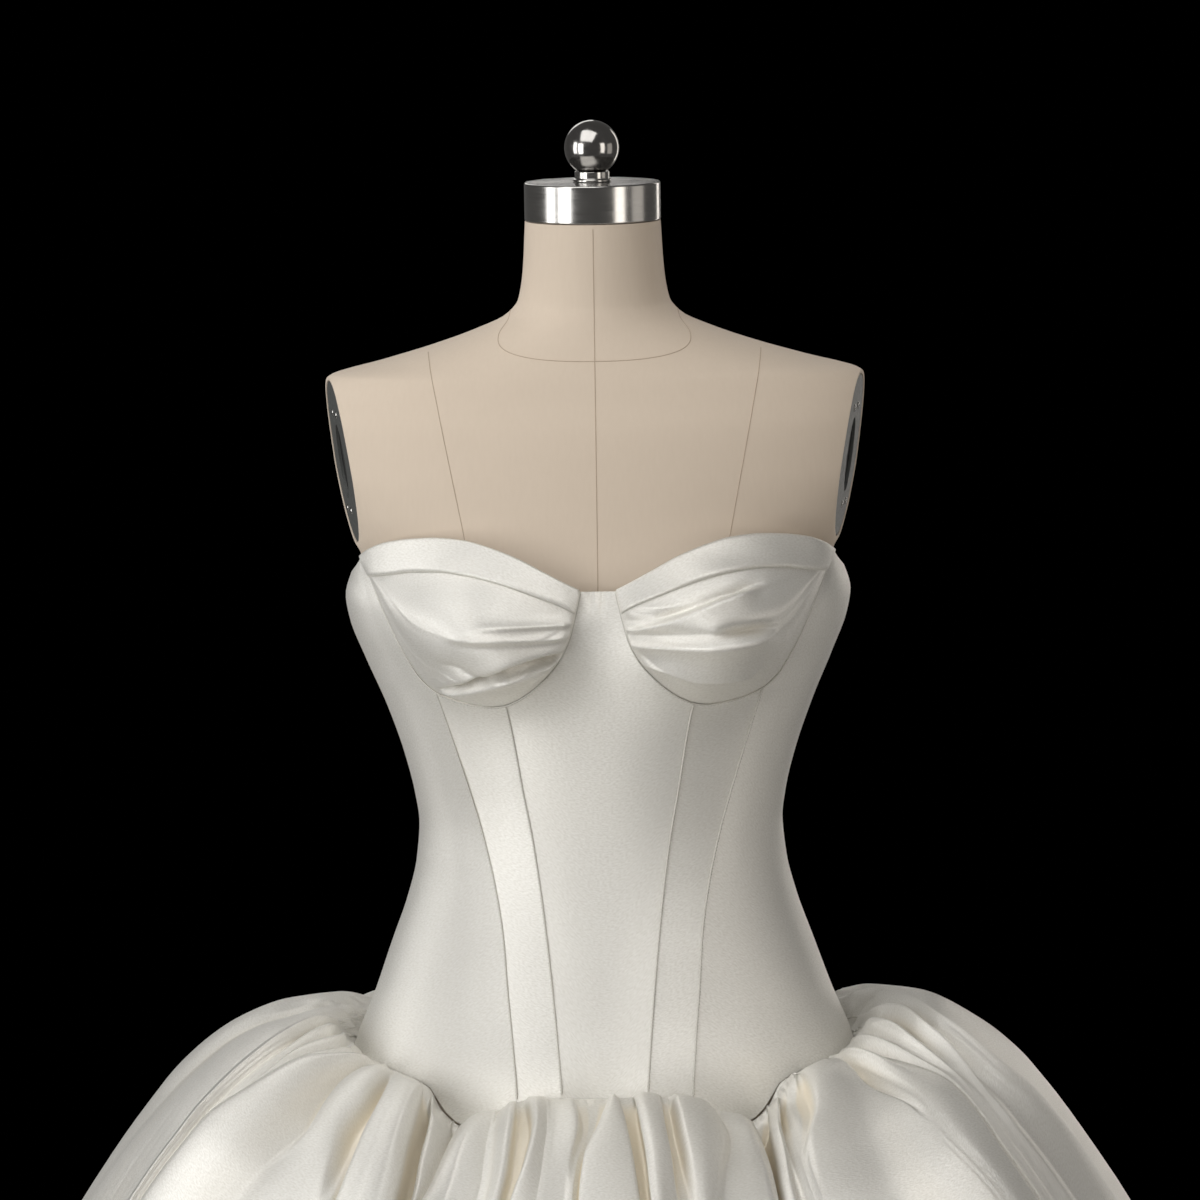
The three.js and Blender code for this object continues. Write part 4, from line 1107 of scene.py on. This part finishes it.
def pointMesh(name, points, slant, out):
    mesh = bpy.data.meshes.new(name)
    mesh.from_pydata((points * mm).tolist(), [], [])
    for label, vectors in (("slant", slant), ("out", out)):
        layer = mesh.attributes.new(label, "FLOAT_VECTOR", "POINT")
        layer.data.foreach_set("vector", np.ascontiguousarray(vectors, dtype=np.float32).ravel())
    return mesh


# A line resampled at an even pitch, with its directions
def evenLine(points, outs, pitch):
    lengths = np.concatenate([[0], np.cumsum(np.linalg.norm(np.diff(points, axis=0), axis=1))])
    places = np.arange(pitch / 2, lengths[-1], pitch)
    even = np.stack([np.interp(places, lengths, points[:, k]) for k in range(3)], -1)
    out = unit(np.stack([np.interp(places, lengths, outs[:, k]) for k in range(3)], -1))
    return even, unit(np.gradient(even, axis=0)), out


# Seams with a cord and slanted stitches on it, sizes in millimetres and degrees
princessCord = {
    "radius": 0.65, "sides": 8, "lift": 0.25, "pitch": 2.2, "bead": (0.72, 0.62, 1.35), "proud": 0.25,
    "slant": 38, "uneven": 0.12, "seed": 3, "from": 852, "below": 0.5, "points": 130, "above": 1,
}
cupCord = {
    "radius": 0.55, "sides": 8, "lift": 0.1, "pitch": 2.6, "bead": (0.45, 0.4, 1.0), "proud": 0.35,
    "slant": 60, "uneven": 0.2, "seed": 5, "spans": ((12.3, 20, 14), (20.6, 130, 90), (131, 166, 40)),
    "stitched": (34, 118),
}


def princessLines():
    for side, _ in sides:
        for seam, corner in ((innerSeam, "goreCorner"), (outerSeam, "armCorner")):
            top = cup[corner] - princessCord["below"]
            z = np.linspace(princessCord["from"], top, princessCord["points"])
            angle = side * bodice["angleOf"](seam(z), z)
            keep = z > waistSeamAt(angle) + princessCord["above"]
            yield angle[keep], z[keep], slice(None)


def cupLines():
    first, last = cupCord["stitched"]
    for side, _ in sides:
        x = np.concatenate([np.linspace(*span) for span in cupCord["spans"]])
        z = cupLower(x)
        yield side * bodice["angleOf"](x, z), z, (x > first) & (x < last)


def makeSeam(label, cord, seamLines):
    lines, points, slants, outs = [], [], [], []
    lean = math.radians(cord["slant"])
    for angle, z, stitched in seamLines:
        lines.append(bodice["point"](angle, z, cord["lift"]))
        out = bodice["normal"](angle, z)
        even, along, evenOut = evenLine(lines[-1][stitched], out[stitched], cord["pitch"])
        points.append(even + evenOut * cord["proud"])
        slants.append(along * math.cos(lean) + np.cross(along, evenOut) * math.sin(lean))
        outs.append(evenOut)
    values = {"Cord Radius": cord["radius"] * mm, "Sides": cord["sides"], "Material": shadedSeamCord}
    tube = grown(f"{label}_cords", lineMesh("cords", lines), cordNet, values)
    mesh = pointMesh("stitches", *(np.concatenate(rows) for rows in (points, slants, outs)))
    values = {"Unevenness": cord["uneven"], "Seed": cord["seed"], "Material": shadedSeamCord}
    values["Stitch Size"] = [v * mm for v in cord["bead"]]
    return [tube, grown(f"{label}_stitches", mesh, stitchNet, values)]


cordNet, stitchNet, screwNet = cordTree(), stitchTree(), screwTree()
seamPieces = makeSeam("princess_seam", princessCord, princessLines())
seamPieces += makeSeam("cup_seam", cupCord, cupLines())
print("seam cords and stitches ready")

# The dress form: a linen cover over a smooth torso, cut flat at the arms
formFit = {
    "z": [795, 801, 818, 840, 889, 930, 965, 1000, 1028, 1056, 1076, 1105, 1142, 1160, 1178, 1206, 1222,
          1240, 1252, 1268, 1286, 1315, 1345, 1365, 1380, 1390, 1400, 1411, 1422, 1433, 1455, 1488.7],
    "half": [160, 170, 180, 187.5, 178.5, 162.5, 150, 137.5, 130.5, 127.9, 130.5, 137.5, 150, 153.5, 157.5,
             162.5, 165, 167.5, 169.8, 180, 192, 205, 207, 203, 190, 154, 119, 87, 63, 54, 50.3, 48.3],
    "front": [104, 111, 117, 121.5, 116.5, 106.5, 99.5, 93.5, 90.5, 89.5, 90.5, 94.5, 100.5, 102, 104, 106,
              106, 105, 102, 97, 93, 87, 80, 72, 67, 63, 59, 55, 52, 49.5, 48.5, 48.3],
    "back": [113, 120, 127, 130.5, 125.5, 112.5, 101.5, 92.5, 87.5, 85.5, 86.5, 90.5, 96.5, 100, 103, 106,
             107, 108, 108, 108, 108, 106, 99, 91, 83, 77, 72, 66, 59, 54, 50.5, 48.3],
}
form = figureSurface(formFit, bust["form"])
torsoCover = {
    "columns": 200, "rows": 120, "fineFrom": 1200, "fineRows": 60, "closest": 0.6, "round": 0.95,
    "sharpFrom": 40,
}
armCut = {
    "tipX": 191, "tipZ": 1379, "lean": 0.14, "turn": 0.19, "rim": 2.4, "recess": 3.0, "draft": 0.3,
    "lowest": 1150,
}
armPlate = {
    "z": 1318, "slotHeight": 54, "slotWidth": 30, "slotSides": 48, "screwX": 9, "screwY": 35, "thick": 2.2,
    "share": 0.985, "gap": 0.3, "edge": 0.35, "edgeSteps": 2, "sharpFrom": 30,
}
screwHead = {
    "sides": 16,
    "radius": [0, 2.7, 2.7, 2.3, 1.3, 0.9, 0.9, 0],
    "height": [-0.4, -0.4, 0.25, 0.8, 1.15, 1.15, 0.5, 0.5],
}


def armFrame(side):
    out = Vector((side, -armCut["turn"], -armCut["lean"])).normalized()
    up = (Vector((0, 0, 1)) - out * out.z).normalized()
    across = up.cross(out)
    x = side * (armCut["tipX"] - armCut["lean"] * (armCut["tipZ"] - armPlate["z"]))
    turn = Matrix((across, up, out)).transposed().to_4x4()
    return Matrix.Translation(Vector((x, 0, armPlate["z"])) * mm) @ turn


def orderedLoop(edges):
    loop = [edges[0].verts[0], edges[0].verts[1]]
    left = set(edges[1:])
    while left:
        step = next(e for e in left if loop[-1] in e.verts)
        left.remove(step)
        loop.append(step.other_vert(loop[-1]))
    return loop[:-1]


# A flat outline moved inwards by an even amount, softened where it folds at its tips
def insetLoop(points, place, amount):
    back = place.inverted()
    flat = np.array([(back @ p)[:2] for p in points])
    after, before = np.roll(flat, -1, 0), np.roll(flat, 1, 0)
    along = unit(unit(after - flat) + unit(flat - before))
    inward = np.stack([-along[:, 1], along[:, 0]], -1)
    area = np.sum(flat[:, 0] * after[:, 1] - after[:, 0] * flat[:, 1])
    moved = flat + inward * amount * np.sign(area)
    return [place @ Vector((x, y, 0)) for x, y in moved]


def joinLoops(shape, first, second):
    for k in range(len(first)):
        n = (k + 1) % len(first)
        shape.faces.new((first[k], first[n], second[n], second[k]))


def makeTorso():
    columns, top = torsoCover["columns"], formFit["z"][-1]
    angle = np.linspace(-180, 180, columns, endpoint=False)
    shares = np.linspace(0, 1, len(formFit["z"]))
    dense = np.interp(np.linspace(0, 1, torsoCover["rows"]), shares, formFit["z"])
    fine = np.linspace(torsoCover["fineFrom"], top, torsoCover["fineRows"])
    z = np.sort(np.concatenate([dense, fine]))
    z = z[np.concatenate([[True], np.diff(z) > torsoCover["closest"]])]
    points = form["point"](angle[None, :], z[:, None])
    shape = bmesh.new()
    layer = shape.loops.layers.uv.new("cloth")
    grid = [[shape.verts.new(Vector(p) * mm) for p in row] for row in points]
    for r in range(len(z) - 1):
        for c in range(columns):
            n = (c + 1) % columns
            face = shape.faces.new((grid[r][c], grid[r][n], grid[r + 1][n], grid[r + 1][c]))
            for loop, (i, j) in zip(face.loops, ((r, c), (r, c + 1), (r + 1, c + 1), (r + 1, c))):
                loop[layer].uv = (j / columns * torsoCover["round"], z[i] * mm)
    shape.faces.new(grid[-1])
    shape.faces.new(grid[0][::-1])
    loops = {}
    for side, _ in sides:
        place = armFrame(side)
        normal = place.to_3x3() @ Vector((0, 0, 1))
        faces = [f for f in shape.faces if f.calc_center_median().z > armCut["lowest"] * mm]
        nearby = list(dict.fromkeys(part for face in faces for part in (*face.verts, *face.edges))) + faces
        cut = bmesh.ops.bisect_plane(
            shape, geom=nearby, plane_co=place.translation, plane_no=normal, clear_outer=True
        )
        outer = orderedLoop([e for e in cut["geom_cut"] if isinstance(e, bmesh.types.BMEdge)])
        rim = insetLoop([v.co for v in outer], place, armCut["rim"] * mm)
        inner = insetLoop(rim, place, armCut["draft"] * mm)
        loops[side] = [p - normal * armCut["recess"] * mm for p in inner]
        rimVerts = [shape.verts.new(p) for p in rim]
        floorVerts = [shape.verts.new(p) for p in loops[side]]
        joinLoops(shape, outer, rimVerts)
        joinLoops(shape, rimVerts, floorVerts)
        # The recess floor, seen through the plate's slot, takes the near-black painted shade
        shape.faces.new(floorVerts).material_index = 1
    return shapedObject("form_cover", shape, [linen, paintedSlotShade], torsoCover["sharpFrom"]), loops


# A dark plate that fills the recess, with an oval slot through it, and the places of its screws
def makeArmPlate(side, name, outline):
    plate = armPlate
    place = armFrame(side)
    back = place.inverted()
    flat = [back @ p for p in outline]
    centre = sum(flat, Vector()) / len(flat)
    bottom = centre.z + plate["gap"] * mm
    shape = bmesh.new()
    share = plate["share"]
    inset = [(centre.x + (p.x - centre.x) * share, centre.y + (p.y - centre.y) * share) for p in flat]
    ring = [shape.verts.new((x, y, 0)) for x, y in inset]
    halfX, halfY = plate["slotWidth"] / 2 * mm, plate["slotHeight"] / 2 * mm
    turns = roundTurns(plate["slotSides"])
    slot = [shape.verts.new((halfX * math.cos(t), halfY * math.sin(t), 0)) for t in turns]
    edges = [shape.edges.new(pair) for loop in (ring, slot) for pair in zip(loop, loop[1:] + loop[:1])]
    bmesh.ops.triangle_fill(shape, edges=edges, use_beauty=True)
    for face in shape.faces:
        if face.normal.z < 0:
            face.normal_flip()
    top = bmesh.ops.extrude_face_region(shape, geom=shape.faces[:])
    moved = [v for v in top["geom"] if isinstance(v, bmesh.types.BMVert)]
    bmesh.ops.translate(shape, verts=moved, vec=(0, 0, plate["thick"] * mm))
    seat = place @ Matrix.Translation((0, 0, bottom))
    bmesh.ops.transform(shape, verts=shape.verts, matrix=seat)
    piece = shapedObject(f"arm_plate_{name}", shape, [plateSteel], plate["sharpFrom"])
    softEdges(piece, plate["edge"], plate["edgeSteps"], plate["sharpFrom"])
    spots = [(x * plate["screwX"] * mm, y * plate["screwY"] * mm) for x in (-1, 1) for y in (-1, 1)]
    screws = [place @ Vector((x, y, bottom + plate["thick"] * mm)) for x, y in spots]
    return piece, [(screw, place.to_3x3()) for screw in screws]


def makeScrews(places):
    profile = list(zip(screwHead["radius"], screwHead["height"]))
    head = turnedObject("screw_head", profile, screwHead["sides"], steel)
    points = np.array([p / mm for p, _ in places])
    outs = np.array([turn @ Vector((0, 0, 1)) for _, turn in places])
    slants = np.array([turn @ Vector((1, 0, 0)) for _, turn in places])
    mesh = pointMesh("screws", points, slants, outs)
    piece = grown("arm_screws", mesh, screwNet, {"Screw": head, "Material": steel})
    bpy.data.objects.remove(head)
    return piece


# The cover's seams: centre front and back, one over each shoulder and one round the neck
formSeam = {
    "radius": 0.3, "sides": 8, "centre": (1180, 1486, 150),
    "shoulder": (1398, 1200, 90), "shoulderX": 93, "shoulderZ": 1272, "shoulderLean": 0.2,
    "neckZ": 1394, "neckRise": 31, "neckPower": 1.2, "neckPoints": 181,
}


def makeFormSeams():
    z = np.linspace(*formSeam["centre"])
    lines = [form["point"](np.full_like(z, angle), z) for angle in (0.0, 180.0)]
    z = np.linspace(*formSeam["shoulder"])
    x = formSeam["shoulderX"] + (z - formSeam["shoulderZ"]) * formSeam["shoulderLean"]
    angle = form["angleOf"](x, z)
    for side, _ in sides:
        lines += [form["point"](side * turn, z) for turn in (angle, 180 - angle)]
    turn = np.linspace(-180, 180, formSeam["neckPoints"])
    rise = (1 - np.cos(np.radians(turn)) ** 2) ** formSeam["neckPower"]
    lines.append(form["point"](turn, formSeam["neckZ"] + formSeam["neckRise"] * rise))
    values = {"Cord Radius": formSeam["radius"] * mm, "Sides": formSeam["sides"], "Material": formThread}
    return grown("form_seam_threads", lineMesh("threads", lines), cordNet, values)


torso, armLoops = makeTorso()
formSeams = makeFormSeams()
plates = {}
screwPlaces = []
for side, name in sides:
    plates[name], places = makeArmPlate(side, name, armLoops[side])
    screwPlaces += places
screws = makeScrews(screwPlaces)
print("dress form ready")

# Turned steel: neck cap, finial, pole and base
capSizes = {"radius": 48.5, "bottom": 1489, "top": 1516, "lip": 1.2, "sides": 128}
finial = {
    "stemRadius": 12.4, "seat": 1516.3, "flange": 1.4, "flangeTop": 1.6, "neckFrom": 2.2, "stemTop": 1523.5,
    "socketRadius": 11, "socketDepth": 5, "ballRadius": 19.5, "ballGap": 0.6, "ballRings": 49, "sides": 72,
    "lip": 0.5,
}
standSizes = {
    "baseRadius": 210, "thick": 14, "chamfer": 3, "boss": 34, "bossFoot": 8, "bossDraft": 6, "footRise": 1.5,
    "bossRise": 4, "bossHeight": 40, "baseSides": 128, "baseLip": 1.0, "poleRadius": 16, "poleTop": 794.7,
    "poleGap": 0.3, "poleSides": 64, "poleLip": 0.8,
}


def makeTurned():
    c, f, s = capSizes, finial, standSizes
    capProfile = [(0, c["bottom"]), (c["radius"], c["bottom"]), (c["radius"], c["top"]), (0, c["top"])]
    flange, seat, stem, top = f["stemRadius"] + f["flange"], f["seat"], f["stemRadius"], f["stemTop"]
    stemProfile = [
        (0, seat), (flange, seat), (flange, seat + f["flangeTop"]), (stem, seat + f["neckFrom"]),
        (stem, top), (f["socketRadius"], top), (0, top - f["socketDepth"]),
    ]
    r = f["ballRadius"]
    centre = top + math.sqrt(r**2 - f["socketRadius"] ** 2) + f["ballGap"]
    ball = [(r * math.sin(t), centre - r * math.cos(t)) for t in np.linspace(0, math.pi, f["ballRings"])]
    ball[0], ball[-1] = (0, centre - r), (0, centre + r)
    low, pole = s["bossHeight"] + s["poleGap"], s["poleRadius"]
    poleProfile = [(0, low), (pole, low), (pole, s["poleTop"]), (0, s["poleTop"])]
    rim, flat, thick, boss = s["baseRadius"], s["baseRadius"] - s["chamfer"], s["thick"], s["boss"]
    baseProfile = [
        (0, 0), (flat, 0), (rim, s["chamfer"]), (rim, thick - s["chamfer"]), (flat, thick),
        (boss + s["bossFoot"], thick + s["footRise"]), (boss, thick + s["bossRise"]),
        (boss - s["bossDraft"], s["bossHeight"]), (0, s["bossHeight"]),
    ]
    return {
        "form_neck_cap": turnedObject("neck_cap", capProfile, c["sides"], steel, c["lip"]),
        "form_finial_stem": turnedObject("finial_stem", stemProfile, f["sides"], steel, f["lip"]),
        "form_finial_ball": turnedObject("finial_ball", ball, f["sides"], ballSteel),
        "stand_pole": turnedObject("pole", poleProfile, s["poleSides"], steel, s["poleLip"]),
        "stand_base": turnedObject("base", baseProfile, s["baseSides"], standSteel, s["baseLip"]),
    }


turned = makeTurned()
for node in ("zip_slider", "zip_pull"):
    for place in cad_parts[node].material_slots:
        place.material = zipEnamel
print("metal pieces ready")

# Bodies and replaced nodes
slots = {"cloth": "satin", "form": "linen", "steel": "steel", "dark": "dark_steel"}
# Each sheet to its stitching line: flat width and length in metres, flat area, how it is held and on what
sheetCuts = {
    "bodice_front": ((0.133, 0.395), 0.031, "stretched", ("form_torso",)),
    "bodice_front_side": ((0.057, 0.303), 0.011, "stretched", ("form_torso",)),
    "bodice_side": ((0.202, 0.432), 0.0432, "stretched", ("form_torso",)),
    "bodice_back_side": ((0.121, 0.365), 0.034, "stretched", ("form_torso",)),
    "bodice_back": ((0.121, 0.339), 0.0333, "stretched", ("form_torso",)),
    "cup": ((0.29, 0.17), 0.0235, "gathered", ("form_torso",)),
    "neckline_band": ((0.22, 0.03), 0.0049, "folded", ("cup",)),
    "skirt_front": ((0.83, 1.10), 0.70, "gathered", ("bodice_front", "bodice_front_side")),
    "skirt_side": ((1.15, 1.21), 1.0, "gathered", ("bodice_side", "bodice_back_side")),
    "skirt_back": ((0.76, 1.13), 0.63, "gathered", ("bodice_back",)),
}


def settle(piece, slot, *nodes):
    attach(piece, gownBody)
    if nodes:
        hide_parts(*nodes)


clothPieces = {**bodicePieces, **cupPieces, **skirtPieces}
for node, piece in clothPieces.items():
    settle(piece, slots["cloth"], node)
    cut = node.removesuffix("_left").removesuffix("_right")
    flat, area, held, carriers = sheetCuts[cut]
    ends = ("", node[len(cut):]) if node != cut else ("", "_left", "_right")
    rests = {carrier + end for carrier in carriers for end in ends} & set(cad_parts)
for piece in seamPieces:
    settle(piece, slots["cloth"])
settle(torso, slots["form"], "form_torso")
settle(formSeams, slots["form"])
for name, plate in plates.items():
    settle(plate, slots["dark"], f"form_arm_plate_{name}")
settle(screws, slots["steel"], *[f"form_arm_screw_{name}_{k}" for _, name in sides for k in (1, 2, 3, 4)])
for node, piece in turned.items():
    settle(piece, slots["dark"] if node == "stand_base" else slots["steel"], node)

print("pieces settled")
